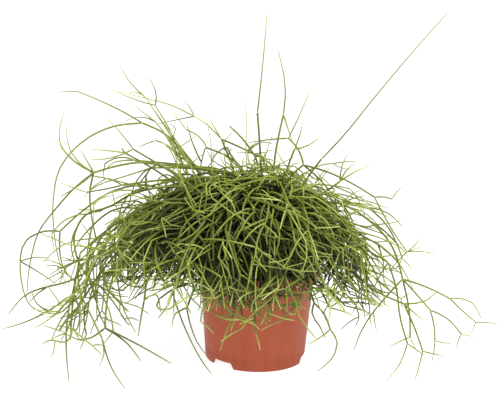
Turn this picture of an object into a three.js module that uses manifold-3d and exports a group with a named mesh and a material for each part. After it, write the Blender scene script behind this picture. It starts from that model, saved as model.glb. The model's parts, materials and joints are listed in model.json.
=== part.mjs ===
// Mistletoe cactus in its plastic nursery pot. Millimetres, +Z up, front towards -Y.
import * as THREE from 'three';
import { mergeVertices } from 'three/addons/utils/BufferGeometryUtils.js';
import Module from 'manifold-3d';

const wasm = await Module();
wasm.setup();

// ---- Driving dimensions: the pot -----------------------------------------------------------
const RIM_RADIUS = 60; // a 12 cm pot, measured over its rim
const POT_HEIGHT = 94.5;
const BAND_HEIGHT = 12; // the plain band round the mouth
const BAND_DRAFT = 0.4; // how far the band leans out over its height
const NECK_RADIUS = 54.8; // the body just under the band
const BASE_RADIUS = 48.2;
const WALL = 1.2;
const FOOT_HEIGHT = 6.5; // the ring that lifts the floor of the pot
const FOOT_WALL = 2;
const POT_SIDES = 40;
const NOTCH_TURNS = [-130, -10, 110]; // three notches in the ring, degrees from the right side
const NOTCH_HALF = 12; // degrees each way at its top
const NOTCH_SPLAY = 3; // degrees wider at the ground
const NOTCH_HEIGHT = 5.8;
const LIP = 0.5; // bevel round the top of the rim
const DRAIN_RADIUS = 4.5;
const DRAIN_OUT = 36; // from the pot's axis to each drain hole
const DRAIN_SIDES = 12;

// ---- Driving dimensions: the soil ----------------------------------------------------------
const SEAT_GAP = 0.3; // play where one part rests in another
const SOIL_EDGE = 81;
const SOIL_CROWN = 85;
const HOLE_DEPTH = 9;
const HOLE_GAP = 0.4;

// ---- Driving dimensions: the stems ---------------------------------------------------------
const FOOT_RADIUS = 2.6; // the woody base where the stems of one clump meet
const FOOT_SIDES = 6;
const FOOT_RISE = 7; // how far it stands out of the soil
const STEM_SIDES = 3;
const TRUE_WIDTH = 1.21; // a three-sided stem this much larger is as wide as a round one
const CLEARANCE = 0.45; // air kept between two stems
const JOINT_FREE = 8; // two stems of one joint may be close over this length
const FOOT_FREE = 32; // and two stems of one foot over this one
const FLOOR_GAP = 1.5;
const SEED = 20731;

// Level 0 is the long arching stem. Each level forks from the end of the one before, and the
// twigs of the last one fork from some of the ends only.
const LEVELS = [
  { radius: [1.3, 1.1], steps: 7 },
  { radius: [1.1, 0.95], steps: 3, reach: [36, 58], sag: 0.16, forks: [3, 3] },
  { radius: [0.95, 0.8], steps: 2, reach: [24, 40], sag: 0.1, forks: [2, 2] },
  { radius: [0.8, 0.6], steps: 1, reach: [15, 30], sag: 0, forks: [1, 2] },
];
const LAST_LEVEL = LEVELS.length - 1;

// ---- The clumps ----------------------------------------------------------------------------
// The feet stand in three rings. A clump's turn is counted from the right side towards the
// back. Its leading stems are laid by hand, each as the points that it runs through and the
// stems that fork from its end.
const RINGS = { inner: 13, middle: 28, outer: 42 };
const stem = (points, ...forks) => ({ points, forks });
const CLUMPS = [
  { name: 'east_fork', ring: 'outer', turn: 0, stems: [
    stem([[45, -15, 157], [75, -25, 162], [102, -32, 149], [123, -38, 129], [136, -44, 96]],
      stem([[157, -38, 88], [183, -30, 74]],
        stem([[204, -26, 70], [215, -24, 53]]),
        stem([[212, -12, 45]], stem([[240, 25, 31]]), stem([[207, -14, 32]]))),
      stem([[150, -52, 83], [162, -58, 71]],
        stem([[178, -56, 63], [193, -54, 47]], stem([[207, -52, 42]]), stem([[189, -58, 33]])),
        stem([[166, -64, 57], [167, -68, 44]], stem([[183, -66, 41]]), stem([[165, -72, 25]]))),
      stem([[144, -52, 62], [145, -56, 43]], stem([[126, -60, 34]]), stem([[153, -56, 28]])),
      stem([[110, -50, 65]], stem([[99, -54, 46], [93, -58, 29]]), stem([[114, -50, 45]]))),
  ] },
  { name: 'east_shelf', ring: 'outer', turn: 30, stems: [
    stem([[50, 38, 133], [75, 50, 143], [108, 60, 137]],
      stem([[126, 64, 132], [144, 68, 116]]),
      stem([[124, 56, 124], [144, 52, 88]], stem([[155, 54, 75]]), stem([[138, 46, 79]]))),
    stem([[52, 30, 125], [85, 40, 120], [118, 44, 104]],
      stem([[139, 44, 86], [156, 42, 58]]),
      stem([[125, 52, 84], [127, 54, 60]])),
  ] },
  { name: 'east_whip', ring: 'middle', turn: 40, stems: [
    stem([[30, 26, 139], [40, 26, 164], [58, 24, 193]],
      stem([[75, 20, 214], [106, 10, 259], [134, 0, 299], [167, -10, 343]])),
    stem([[44, 34, 137], [64, 42, 156], [78, 46, 166]],
      stem([[84, 50, 192]]),
      stem([[91, 52, 174], [107, 58, 180]]),
      stem([[91, 43, 185]])),
  ] },
  { name: 'east_high', ring: 'middle', turn: -5, stems: [
    stem([[22, -4, 150], [27, -6, 180], [40, -8, 194]],
      stem([[35, -6, 208], [25, -2, 218]],
        stem([[8, 4, 215], [-12, 10, 210]]),
        stem([[32, -6, 235], [44, -10, 268]])),
      stem([[61, -14, 190], [86, -22, 181], [107, -28, 170]],
        stem([[124, -21, 167]], stem([[133, -18, 178]])),
        stem([[114, -32, 158], [126, -38, 139], [139, -42, 122]],
          stem([[150, -48, 137]]),
          stem([[153, -36, 126]]),
          stem([[166, -46, 122]]),
          stem([[131, -40, 111], [123, -38, 100]]))),
      stem([[55, 4, 179], [71, 10, 160]],
        stem([[84, 14, 142], [90, 16, 122]]),
        stem([[89, 18, 152], [108, 22, 146]]))),
  ] },
  { name: 'crest_east', ring: 'inner', turn: 40, stems: [
    stem([[12, 22, 156], [13, 28, 190], [20, 32, 234]],
      stem([[21, 34, 255], [12, 38, 297]]),
      stem([[25, 30, 220], [30, 27, 207]])),
    stem([[20, 30, 149], [26, 38, 180], [32, 40, 198]],
      stem([[39, 42, 225]]),
      stem([[44, 44, 201], [56, 48, 209]])),
  ] },
  { name: 'crest_front', ring: 'inner', turn: -60, stems: [
    stem([[2, -2, 166], [-2, 0, 212], [-5, 0, 241]],
      stem([[-3, 2, 266], [-1, 5, 295], [1, 8, 335]])),
    stem([[-4, -10, 158], [-4, -14, 198], [-15, -14, 215], [-31, -16, 231]]),
  ] },
  { name: 'crest_west', ring: 'inner', turn: 150, stems: [
    stem([[-16, 20, 146], [-28, 26, 183], [-39, 30, 208]],
      stem([[-54, 32, 222], [-66, 33, 229]],
        stem([[-77, 35, 244]]),
        stem([[-89, 30, 240], [-110, 26, 246], [-138, 20, 253]]),
        stem([[-83, 38, 224], [-104, 42, 218]])),
      stem([[-48, 40, 220], [-54, 46, 229]]),
      stem([[-23, 24, 203], [1, 18, 193]])),
    stem([[-31, 8, 153], [-46, 4, 181], [-48, 0, 210], [-53, -4, 235]]),
    stem([[-10, 12, 158], [-15, 16, 201], [-15, 20, 226], [-17, 22, 247]]),
  ] },
  { name: 'west_high', ring: 'middle', turn: 160, stems: [
    stem([[-45, 12, 152], [-67, 18, 187], [-93, 22, 213], [-115, 26, 222]],
      stem([[-132, 28, 231], [-165, 35, 244], [-179, 40, 248]], stem([[-200, 42, 246]])),
      stem([[-146, 26, 217], [-175, 25, 200], [-194, 22, 176], [-200, 18, 145],
        [-198, 12, 110], [-185, 0, 63]])),
    stem([[-46, 6, 163], [-77, -5, 208], [-114, -16, 261]]),
  ] },
  { name: 'west_shelf', ring: 'middle', turn: 200, stems: [
    stem([[-57, -10, 152], [-76, -16, 181], [-109, -24, 195], [-135, -30, 192],
      [-155, -34, 186]],
      stem([[-169, -38, 197], [-177, -42, 211], [-179, -46, 232]]),
      stem([[-174, -30, 196], [-187, -28, 211], [-184, -26, 240]]),
      stem([[-167, -40, 210]]),
      stem([[-173, -50, 201], [-188, -60, 223]]),
      stem([[-171, -36, 173], [-191, -40, 150], [-204, -44, 132], [-212, -50, 103],
        [-215, -54, 69]]),
      stem([[-159, -30, 169], [-158, -30, 147], [-153, -28, 120]]),
      stem([[-168, -46, 176], [-184, -50, 166]])),
  ] },
  { name: 'west_loop', ring: 'outer', turn: 150, stems: [
    stem([[-63, 34, 130], [-108, 44, 156], [-146, 52, 147], [-175, 54, 126], [-198, 52, 104]],
      stem([[-215, 48, 104], [-231, 44, 95], [-236, 40, 75]],
        stem([[-234, 36, 54], [-224, 30, 32], [-207, 24, 27], [-192, 20, 30]]),
        stem([[-221, 44, 65], [-202, 50, 50]]),
        stem([[-205, 30, 82]])),
      stem([[-192, 58, 59], [-179, 60, 46]])),
    stem([[-68, 30, 121], [-107, 36, 132], [-139, 40, 133], [-165, 44, 113]],
      stem([[-181, 48, 91], [-188, 50, 73]]),
      stem([[-169, 40, 89], [-170, 36, 65], [-164, 30, 41]])),
  ] },
  { name: 'west_low', ring: 'outer', turn: 180, stems: [
    stem([[-71, 0, 119], [-113, -6, 103], [-151, -12, 77], [-174, -14, 62], [-199, -17, 44]],
      stem([[-220, -19, 33], [-243, -20, 25]]),
      stem([[-207, -22, 49], [-215, -28, 68]])),
    stem([[-71, 8, 130], [-115, 12, 118], [-156, 12, 83], [-183, 10, 66], [-204, 8, 60]],
      stem([[-226, 5, 51], [-242, 2, 31]]),
      stem([[-217, 16, 48], [-224, 20, 39]])),
  ] },
  { name: 'west_bundle', ring: 'outer', turn: 210, stems: [
    stem([[-60, -34, 163], [-101, -50, 160], [-137, -62, 141], [-163, -72, 119]],
      stem([[-166, -80, 96], [-171, -88, 71], [-173, -94, 49]],
        stem([[-172, -98, 29], [-169, -102, 4]]),
        stem([[-187, -98, 43]])),
      stem([[-162, -84, 88], [-151, -95, 69], [-139, -106, 50]],
        stem([[-128, -114, 22], [-116, -118, 6]]),
        stem([[-137, -106, 34], [-141, -108, 23]]))),
    stem([[-65, -28, 150], [-102, -38, 142], [-134, -46, 116]],
      stem([[-147, -50, 95], [-152, -52, 68]]),
      stem([[-129, -60, 86], [-124, -66, 67], [-111, -72, 44]])),
  ] },
  { name: 'west_hang', ring: 'middle', turn: 240, stems: [
    stem([[-50, -50, 150], [-91, -64, 140], [-126, -76, 113], [-136, -82, 82],
      [-138, -88, 53]],
      stem([[-107, -96, 41], [-76, -102, 26]]),
      stem([[-119, -92, 42], [-104, -96, 25]]),
      stem([[-161, -84, 39], [-180, -80, 47]])),
    stem([[-44, -48, 143], [-77, -58, 129], [-99, -64, 101], [-104, -66, 74]],
      stem([[-109, -68, 39]]),
      stem([[-93, -72, 82], [-88, -76, 66]])),
  ] },
  { name: 'pot_west', ring: 'outer', turn: 240, stems: [
    stem([[-49, -56, 121], [-68, -66, 103], [-78, -70, 84]],
      stem([[-71, -74, 65], [-61, -76, 42], [-51, -78, 24]], stem([[-39, -80, 8]])),
      stem([[-82, -66, 70], [-91, -64, 56]])),
    stem([[-42, -62, 116], [-56, -72, 92], [-64, -76, 71]],
      stem([[-74, -78, 66], [-77, -79, 54]]),
      stem([[-60, -72, 52], [-51, -70, 31], [-43, -70, 22]])),
  ] },
  { name: 'pot_front', ring: 'outer', turn: 270, stems: [
    stem([[-20, -68, 120], [-21, -78, 91], [-21, -80, 67]],
      stem([[-27, -80, 50], [-32, -80, 32]]),
      stem([[-7, -82, 64], [7, -84, 61]])),
    stem([[-4, -72, 116], [-2, -80, 82], [0, -80, 51]], stem([[5, -81, 34]])),
    stem([[-11, -76, 109], [-7, -86, 86]],
      stem([[2, -88, 72], [11, -88, 61]]),
      stem([[-17, -88, 84]])),
  ] },
  { name: 'pot_east', ring: 'outer', turn: 300, stems: [
    stem([[34, -62, 121], [46, -72, 98], [53, -76, 80]],
      stem([[61, -76, 72], [69, -76, 55]],
        stem([[76, -76, 41], [72, -76, 27], [58, -78, 14]]),
        stem([[61, -80, 49], [49, -84, 43]])),
      stem([[52, -72, 67], [60, -68, 54], [65, -66, 43]])),
    stem([[18, -66, 127], [27, -76, 91]],
      stem([[42, -78, 74]]),
      stem([[19, -80, 82]])),
  ] },
  { name: 'east_hang', ring: 'outer', turn: 330, stems: [
    stem([[38, -38, 146], [79, -52, 144], [120, -62, 117]],
      stem([[129, -66, 92], [133, -70, 68], [141, -74, 43]],
        stem([[135, -78, 25], [122, -82, 8]]),
        stem([[157, -76, 33]])),
      stem([[110, -58, 94], [106, -56, 78]])),
    stem([[38, -44, 135], [80, -60, 115], [106, -70, 94], [135, -78, 83]],
      stem([[147, -84, 59], [154, -88, 41]],
        stem([[147, -96, 13]]),
        stem([[174, -84, 36]])),
      stem([[155, -76, 66]]),
      stem([[155, -74, 85], [167, -72, 95]])),
  ] },
  { name: 'front_high', ring: 'middle', turn: 285, stems: [
    stem([[14, -60, 142], [32, -100, 156], [48, -140, 146], [60, -168, 120]],
      stem([[62, -184, 98]]),
      stem([[76, -180, 106]])),
    stem([[-24, -58, 146], [-46, -98, 156], [-62, -138, 144], [-70, -166, 120]],
      stem([[-76, -184, 100]]),
      stem([[-58, -180, 108]])),
  ] },
  { name: 'crest_back', ring: 'inner', turn: 95, stems: [] },
  { name: 'crest_left', ring: 'inner', turn: 225, stems: [] },
  { name: 'back_high_east', ring: 'middle', turn: 80, stems: [] },
  { name: 'back_high_west', ring: 'middle', turn: 120, stems: [] },
  { name: 'back_east', ring: 'outer', turn: 60, stems: [
    stem([[34, 72, 136], [54, 110, 144], [72, 148, 126], [84, 170, 96]],
      stem([[88, 184, 70]]),
      stem([[104, 176, 72]])),
  ] },
  { name: 'back', ring: 'outer', turn: 90, stems: [
    stem([[0, 78, 142], [2, 116, 148], [-2, 150, 132], [-6, 172, 104]],
      stem([[-10, 184, 76]]),
      stem([[12, 182, 80]])),
  ] },
  { name: 'back_west', ring: 'outer', turn: 120, stems: [
    stem([[-34, 74, 140], [-54, 112, 150], [-70, 150, 132], [-80, 172, 100]],
      stem([[-84, 184, 74]]),
      stem([[-100, 176, 78]])),
  ] },
];

// The mop: the rounded mass that the stems laid by rule fill, wider than it is tall.
const MOP_CENTRE = [-6, 0, 105];
const MOP_WIDE = 136; // from its centre to its side
const MOP_TALL = 82; // from its centre to its top
const MOP_LOWEST = 57;
const MOP_SLACK = [0.86, 1.14]; // some tips stop short of its surface and some stand out
const FRONT_RISE = 0.25; // its underside climbs this steeply towards the front, off the pot

// Arching stems laid by rule end inside the mop, on a golden spiral round the axis.
const ARCH_STEMS = 35;
const ARCH_REACH = [0.55, 0.78]; // of the way to the surface of the mop
const ARCH_LOWEST = -0.3; // how far down the spiral runs, of the height above the centre
const GOLDEN_TURN = 2.399963;
const ARCH_RISE = 34; // every arch first rises by this much over its foot,
const ARCH_CLIMB = 0.6; // by this share of the way up to its end
const ARCH_LEAN = 0.2; // and by this share of the way out, while it leans out as much
const ARCH_SWING = 0.3; // radians off the spiral, each way
const ARCH_TRIES = 30;
const SHARE = 25; // how much farther off a foot is sought for each stem that a near one has
const FORK_TRIES = 16;
const NECK_LENGTH = 4; // of its radius, how soon a fork has its full width
const OUTWARD = 0.3; // how strongly a fork turns away from the middle of the mop
const OUTWARD_DROP = 20; // that middle lies this far below the centre

// ---- Growth ---------------------------------------------------------------------------------
// One row of random draws, the same at every build.
let drawState = SEED;
function draw(low = 0, high = 1) {
  drawState = (drawState * 16807) % 2147483647;
  return low + ((high - low) * drawState) / 2147483647;
}

const point = ([x, y, z]) => new THREE.Vector3(x, y, z);
const MOP_MIDDLE = point(MOP_CENTRE);

// Shortest distance between two straight pieces.
function gapBetween(a, b, c, d) {
  const first = b.clone().sub(a);
  const second = d.clone().sub(c);
  const apart = a.clone().sub(c);
  const aa = first.dot(first);
  const bb = second.dot(second);
  const ab = first.dot(second);
  const aApart = first.dot(apart);
  const bApart = second.dot(apart);
  const spread = aa * bb - ab * ab;
  let s = spread > 1e-9 ? THREE.MathUtils.clamp((ab * bApart - aApart * bb) / spread, 0, 1) : 0;
  let t = (ab * s + bApart) / bb;
  if (t < 0) {
    t = 0;
    s = THREE.MathUtils.clamp(-aApart / aa, 0, 1);
  } else if (t > 1) {
    t = 1;
    s = THREE.MathUtils.clamp((ab - aApart) / aa, 0, 1);
  }
  return first.multiplyScalar(s).add(a).distanceTo(second.multiplyScalar(t).add(c));
}

// Straight pieces of all grown stems, kept by the cube of space that they pass through.
const CUBE = 14;
const cubes = new Map();
function cubesOf(a, b, margin) {
  const keys = [];
  const low = a.clone().min(b).addScalar(-margin).divideScalar(CUBE).floor();
  const high = a.clone().max(b).addScalar(margin).divideScalar(CUBE).floor();
  for (let i = low.x; i <= high.x; i += 1) {
    for (let j = low.y; j <= high.y; j += 1) {
      for (let k = low.z; k <= high.z; k += 1) keys.push(`${i},${j},${k}`);
    }
  }
  return keys;
}

function outerPotRadius(z) {
  if (z > POT_HEIGHT - BAND_HEIGHT) return RIM_RADIUS;
  return BASE_RADIUS + ((NECK_RADIUS - BASE_RADIUS) * z) / (POT_HEIGHT - BAND_HEIGHT);
}

const MOUTH_RADIUS = RIM_RADIUS - BAND_DRAFT - WALL;
function meetsPotOrFloor(a, b, radius) {
  const margin = radius * TRUE_WIDTH + CLEARANCE;
  const count = Math.ceil(a.distanceTo(b) / 3);
  for (let i = 0; i <= count; i += 1) {
    const p = a.clone().lerp(b, i / count);
    if (p.z < FLOOR_GAP + margin) return true;
    if (p.z > POT_HEIGHT + margin) continue;
    const out = Math.hypot(p.x, p.y);
    const inMouth = out < MOUTH_RADIUS - 1 - margin && p.z > SOIL_CROWN + margin;
    if (!inMouth && out < outerPotRadius(p.z) + margin) return true;
  }
  return false;
}

// Whether a path comes too near to anything. Stems of its own joint, its kin, may be close to
// its first stretch, and a loose path may meet all of its own clump.
function meetsAnything(path, radius, clump, kin, loose) {
  const free = path[0].z < SOIL_CROWN + FOOT_RISE ? FOOT_FREE : JOINT_FREE;
  let run = 0;
  for (let i = 1; i < path.length; i += 1) {
    const a = path[i - 1];
    const b = path[i];
    const size = a.distanceTo(b);
    const before = run;
    run += size;
    if (meetsPotOrFloor(a, b, radius)) return true;
    const seen = new Set();
    for (const key of cubesOf(a, b, 2 * TRUE_WIDTH * radius + CLEARANCE + 1)) {
      for (const piece of cubes.get(key) ?? []) {
        if (seen.has(piece)) continue;
        seen.add(piece);
        if (loose && piece.clump === clump) continue;
        const room = (radius + piece.radius) * TRUE_WIDTH + CLEARANCE;
        let start = a;
        if (kin.has(piece.stem)) {
          if (run <= free) continue;
          if (before < free) start = a.clone().lerp(b, (free - before) / size);
        }
        if (gapBetween(start, b, piece.a, piece.b) < room) return true;
      }
    }
  }
  return false;
}

const stems = [];
function keep(path, level, clump, parent, leads) {
  const { radius } = LEVELS[level];
  const grown = { path, level, clump, parent, leads, radius, forks: [] };
  grown.number = stems.length;
  stems.push(grown);
  if (parent) parent.forks.push(grown);
  for (let i = 1; i < path.length; i += 1) {
    const piece = { a: path[i - 1], b: path[i], radius: radius[0], clump, stem: grown };
    for (const key of cubesOf(piece.a, piece.b, 0)) {
      if (!cubes.has(key)) cubes.set(key, []);
      cubes.get(key).push(piece);
    }
  }
  return grown;
}

// A stem laid by hand is bent clear of other clumps, forwards or backwards.
const BENDS = [0, 2.5, -2.5, 5, -5, 7.5, -7.5, 10, -10];
function layByHand(laid, from, level, clump, parent, shift) {
  const kin = new Set(parent ? [parent, ...parent.forks] : clump.leaders);
  let grown = null;
  let used = 0;
  for (const bend of BENDS) {
    const path = [from, ...laid.points.map((p) => point(p).add(shift).setY(p[1] + shift.y + bend))];
    if (!meetsAnything(path, LEVELS[level].radius[0], clump, kin, true)) {
      grown = keep(path, level, clump, parent, Boolean(parent) && parent.forks.length === 0);
      used = bend;
      break;
    }
  }
  if (!grown) return;
  if (!parent) clump.leaders.push(grown);
  const moved = shift.clone().setY(shift.y + used);
  for (const fork of laid.forks) {
    layByHand(fork, grown.path.at(-1), Math.min(level + 1, LAST_LEVEL), clump, grown, moved);
  }
}

for (const clump of CLUMPS) {
  const turn = THREE.MathUtils.degToRad(clump.turn);
  const out = RINGS[clump.ring];
  clump.foot = new THREE.Vector3(out * Math.cos(turn), out * Math.sin(turn), SOIL_CROWN);
  clump.leaders = [];
}
for (const clump of CLUMPS) {
  const top = clump.foot.clone();
  top.z += FOOT_RISE - 2;
  for (const laid of clump.stems) {
    layByHand(laid, top, 0, clump, null, new THREE.Vector3());
  }
}
const handLaid = stems.length;

// An arching stem by rule: up out of its foot, over, and down to its end in the mop.
function archTo(foot, end) {
  const out = new THREE.Vector3(end.x, end.y, 0);
  const over = foot.clone().addScaledVector(out, ARCH_LEAN);
  const climb = ARCH_CLIMB * Math.max(end.z - foot.z, 0);
  over.z = foot.z + ARCH_RISE + climb + ARCH_LEAN * out.length();
  return new THREE.QuadraticBezierCurve3(foot, over, end).getPoints(LEVELS[0].steps);
}

// What ends high over the pot starts near its middle.
function ringFor(up) {
  if (up > 0.75) return 'inner';
  return up > 0.25 ? 'middle' : 'outer';
}

for (let i = 0; i < ARCH_STEMS; i += 1) {
  const up = 1 - ((i + 0.5) / ARCH_STEMS) * (1 - ARCH_LOWEST);
  const side = Math.sqrt(1 - up * up);
  const ring = ringFor(up);
  for (let attempt = 0; attempt < ARCH_TRIES; attempt += 1) {
    const turn = i * GOLDEN_TURN + draw(-ARCH_SWING, ARCH_SWING);
    const reach = draw(...ARCH_REACH);
    const out = side * reach * MOP_WIDE;
    const end = new THREE.Vector3(out * Math.cos(turn), out * Math.sin(turn), up * reach * MOP_TALL);
    end.add(MOP_MIDDLE);
    const flat = new THREE.Vector3(end.x, end.y, SOIL_CROWN);
    const cost = (clump) => clump.foot.distanceTo(flat) + SHARE * clump.leaders.length;
    const near = CLUMPS.filter((clump) => clump.ring === ring);
    near.sort((a, b) => cost(a) - cost(b));
    const clump = near[attempt % 2];
    const top = clump.foot.clone();
    top.z += FOOT_RISE - 2;
    const path = archTo(top, end);
    if (!meetsAnything(path, LEVELS[0].radius[0], clump, new Set(clump.leaders), false)) {
      clump.leaders.push(keep(path, 0, clump, null, false));
      break;
    }
  }
}

function outsideMop(p, slack) {
  const out = Math.hypot(p.x - MOP_MIDDLE.x, p.y) / (MOP_WIDE * slack);
  const up = (p.z - MOP_MIDDLE.z) / (MOP_TALL * slack);
  const lowest = MOP_LOWEST + FRONT_RISE * Math.max(-p.y, 0);
  return out * out + up * up > 1 || p.z < lowest * (2 - slack);
}

// A fork: a bent way on from a joint, sagging a little at each step.
function grow(parent, index, level, spread) {
  const rule = LEVELS[level];
  const joint = parent.path[index];
  const along = joint.clone().sub(parent.path[index - 1]).normalize();
  const outward = joint.clone().setZ(joint.z - MOP_MIDDLE.z + OUTWARD_DROP).normalize();
  const atEnd = index === parent.path.length - 1;
  for (let attempt = 0; attempt < FORK_TRIES; attempt += 1) {
    const angle = draw(...spread);
    const spin = draw(0, 2 * Math.PI);
    const aside = new THREE.Vector3(Math.cos(spin), Math.sin(spin), draw(-1, 1)).cross(along);
    const way = along.clone().applyAxisAngle(aside.normalize(), angle);
    way.addScaledVector(outward, OUTWARD).normalize();
    const reach = draw(...rule.reach) / rule.steps;
    const slack = draw(...MOP_SLACK);
    const path = [joint];
    for (let step = 0; step < rule.steps; step += 1) {
      path.push(path.at(-1).clone().addScaledVector(way, reach));
      way.z -= rule.sag;
      way.normalize();
    }
    if (outsideMop(path.at(-1), slack)) continue;
    const kin = new Set([parent, ...parent.forks]);
    if (!meetsAnything(path, rule.radius[0], parent.clump, kin, false)) {
      return keep(path, level, parent.clump, parent, atEnd && !parent.forks.some((f) => f.leads));
    }
  }
  return null;
}

// How far a fork turns off its stem, in radians: the one that carries it on, and the others.
const NARROW = [0.3, 0.7];
const WIDE = [0.55, 1.05];
const HAND_JOINTS = [2, 3]; // points of a long stem laid by hand where a fork starts
const ARCH_JOINTS = [5]; // and of one laid by rule
let ready = stems.filter((each) => each.level === 0);
for (let level = 1; level < LEVELS.length; level += 1) {
  const next = [];
  for (const parent of ready) {
    const last = parent.path.length - 1;
    const byHand = parent.number < handLaid;
    const atEnd = byHand ? 0 : Math.floor(draw(LEVELS[level].forks[0], LEVELS[level].forks[1] + 1));
    for (let i = 0; i < atEnd; i += 1) {
      const grown = grow(parent, last, level, i ? WIDE : NARROW);
      if (grown) next.push(grown);
    }
    if (level > 1) continue;
    for (const index of byHand ? HAND_JOINTS : ARCH_JOINTS) {
      if (index >= last) continue;
      const grown = grow(parent, index, level, WIDE);
      if (grown) next.push(grown);
    }
  }
  ready = next;
}

// ---- Solids ---------------------------------------------------------------------------------
function solidFrom(vertices, triangles) {
  return new wasm.Manifold(new wasm.Mesh({
    numProp: 3,
    vertProperties: new Float32Array(vertices),
    triVerts: new Uint32Array(triangles),
  }));
}

function geometryFrom(solid) {
  const mesh = solid.getMesh();
  const geometry = new THREE.BufferGeometry();
  geometry.setAttribute('position', new THREE.BufferAttribute(mesh.vertProperties, 3));
  geometry.setIndex(new THREE.BufferAttribute(mesh.triVerts, 1));
  return geometry;
}

function solidOf(geometry) {
  geometry.deleteAttribute('normal');
  geometry.deleteAttribute('uv');
  const merged = mergeVertices(geometry, 1e-4);
  return solidFrom(merged.attributes.position.array, merged.index.array);
}

// A closed tube along a path, with one radius to a point. Where the first radius is 0 it starts
// in a point.
function tube(path, radii, sides) {
  const pointed = radii[0] === 0;
  const vertices = pointed ? path[0].toArray() : [];
  const triangles = [];
  const count = path.length;
  const first = path[1].clone().sub(path[0]).normalize();
  const pick = Math.abs(first.z) < 0.8 ? new THREE.Vector3(0, 0, 1) : new THREE.Vector3(0, 1, 0);
  let across = pick.cross(first).normalize();
  for (let i = pointed ? 1 : 0; i < count; i += 1) {
    const before = path[Math.max(i - 1, 0)];
    const after = path[Math.min(i + 1, count - 1)];
    const along = after.clone().sub(before).normalize();
    across = across.clone().addScaledVector(along, -across.dot(along)).normalize();
    const aside = along.clone().cross(across);
    for (let k = 0; k < sides; k += 1) {
      const turn = (2 * Math.PI * k) / sides;
      const corner = path[i].clone()
        .addScaledVector(across, radii[i] * Math.cos(turn))
        .addScaledVector(aside, radii[i] * Math.sin(turn));
      vertices.push(corner.x, corner.y, corner.z);
    }
  }
  const start = pointed ? 1 : 0;
  const end = vertices.length / 3 - sides;
  for (let ring = start; ring < end; ring += sides) {
    for (let k = 0; k < sides; k += 1) {
      const a = ring + k;
      const b = ring + ((k + 1) % sides);
      triangles.push(a, b, b + sides, a, b + sides, a + sides);
    }
  }
  for (let k = 0; pointed && k < sides; k += 1) triangles.push(0, start + ((k + 1) % sides), start + k);
  for (let k = 1; k < sides - 1; k += 1) {
    if (!pointed) triangles.push(0, k + 1, k);
    triangles.push(end, end + k, end + k + 1);
  }
  return solidFrom(vertices, triangles);
}

// A stem, the first fork from its end, the first fork of that one and so on make one tube.
function limb(start) {
  const path = [];
  const radii = [];
  for (let part = start; part; part = part.forks.find((fork) => fork.leads)) {
    const last = part.path.length - 1;
    part.path.forEach((p, i) => {
      if (path.length && i === 0) return;
      path.push(p.clone());
      radii.push(TRUE_WIDTH * THREE.MathUtils.lerp(...part.radius, i / last));
    });
  }
  if (start.parent) {
    // a fork leaves its joint by a narrow neck
    const way = path[1].clone().sub(path[0]).normalize();
    path.splice(1, 0, path[0].clone().addScaledVector(way, NECK_LENGTH * start.radius[0]));
    radii.unshift(0);
  }
  return tube(path, radii, STEM_SIDES);
}

function clumpSolid(clump) {
  const base = clump.foot.clone();
  base.z = SOIL_CROWN - HOLE_DEPTH + HOLE_GAP;
  const top = clump.foot.clone();
  top.z += FOOT_RISE;
  const foot = tube([base, top], [FOOT_RADIUS, FOOT_RADIUS * 0.8], FOOT_SIDES);
  const limbs = stems.filter((each) => each.clump === clump && !each.leads).map(limb);
  return wasm.Manifold.union([foot, ...limbs]);
}

// A profile turned about the upright axis, with its doubled points on the axis made one.
function turned(profile, sides = POT_SIDES) {
  const geometry = new THREE.LatheGeometry(profile.map(([r, z]) => new THREE.Vector2(r, z)), sides);
  geometry.rotateX(Math.PI / 2);
  geometry.deleteAttribute('normal');
  geometry.deleteAttribute('uv');
  const merged = mergeVertices(geometry, 1e-4);
  const corners = merged.index.array;
  const triangles = [];
  for (let i = 0; i < corners.length; i += 3) {
    const [a, b, c] = corners.slice(i, i + 3);
    if (a !== b && b !== c && c !== a) triangles.push(a, b, c);
  }
  return solidFrom(merged.attributes.position.array, triangles);
}

// An upright prism, to cut a round hole.
function post(x, y, low, high, radius, sides) {
  const base = new THREE.Vector3(x, y, low);
  const top = new THREE.Vector3(x, y, high);
  return tube([base, top], [radius, radius], sides);
}

// The slot that a notch leaves in the foot ring, wider at the ground.
function notch(turn) {
  const vertices = [];
  for (const [z, half] of [[-1, NOTCH_HALF + NOTCH_SPLAY], [NOTCH_HEIGHT, NOTCH_HALF]]) {
    for (const [radius, sign] of [[0.85, -1], [1.15, -1], [1.15, 1], [0.85, 1]]) {
      const angle = THREE.MathUtils.degToRad(turn + sign * half);
      const out = radius * BASE_RADIUS;
      vertices.push(out * Math.cos(angle), out * Math.sin(angle), z);
    }
  }
  return solidFrom(vertices, [
    0, 2, 1, 0, 3, 2, 4, 5, 6, 4, 6, 7, 0, 1, 5, 0, 5, 4,
    1, 2, 6, 1, 6, 5, 2, 3, 7, 2, 7, 6, 3, 0, 4, 3, 4, 7,
  ]);
}

const BAND_BOTTOM = POT_HEIGHT - BAND_HEIGHT;
const FLOOR_TOP = FOOT_HEIGHT + WALL;
const innerRadius = (z) => outerPotRadius(z) - WALL;

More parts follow.
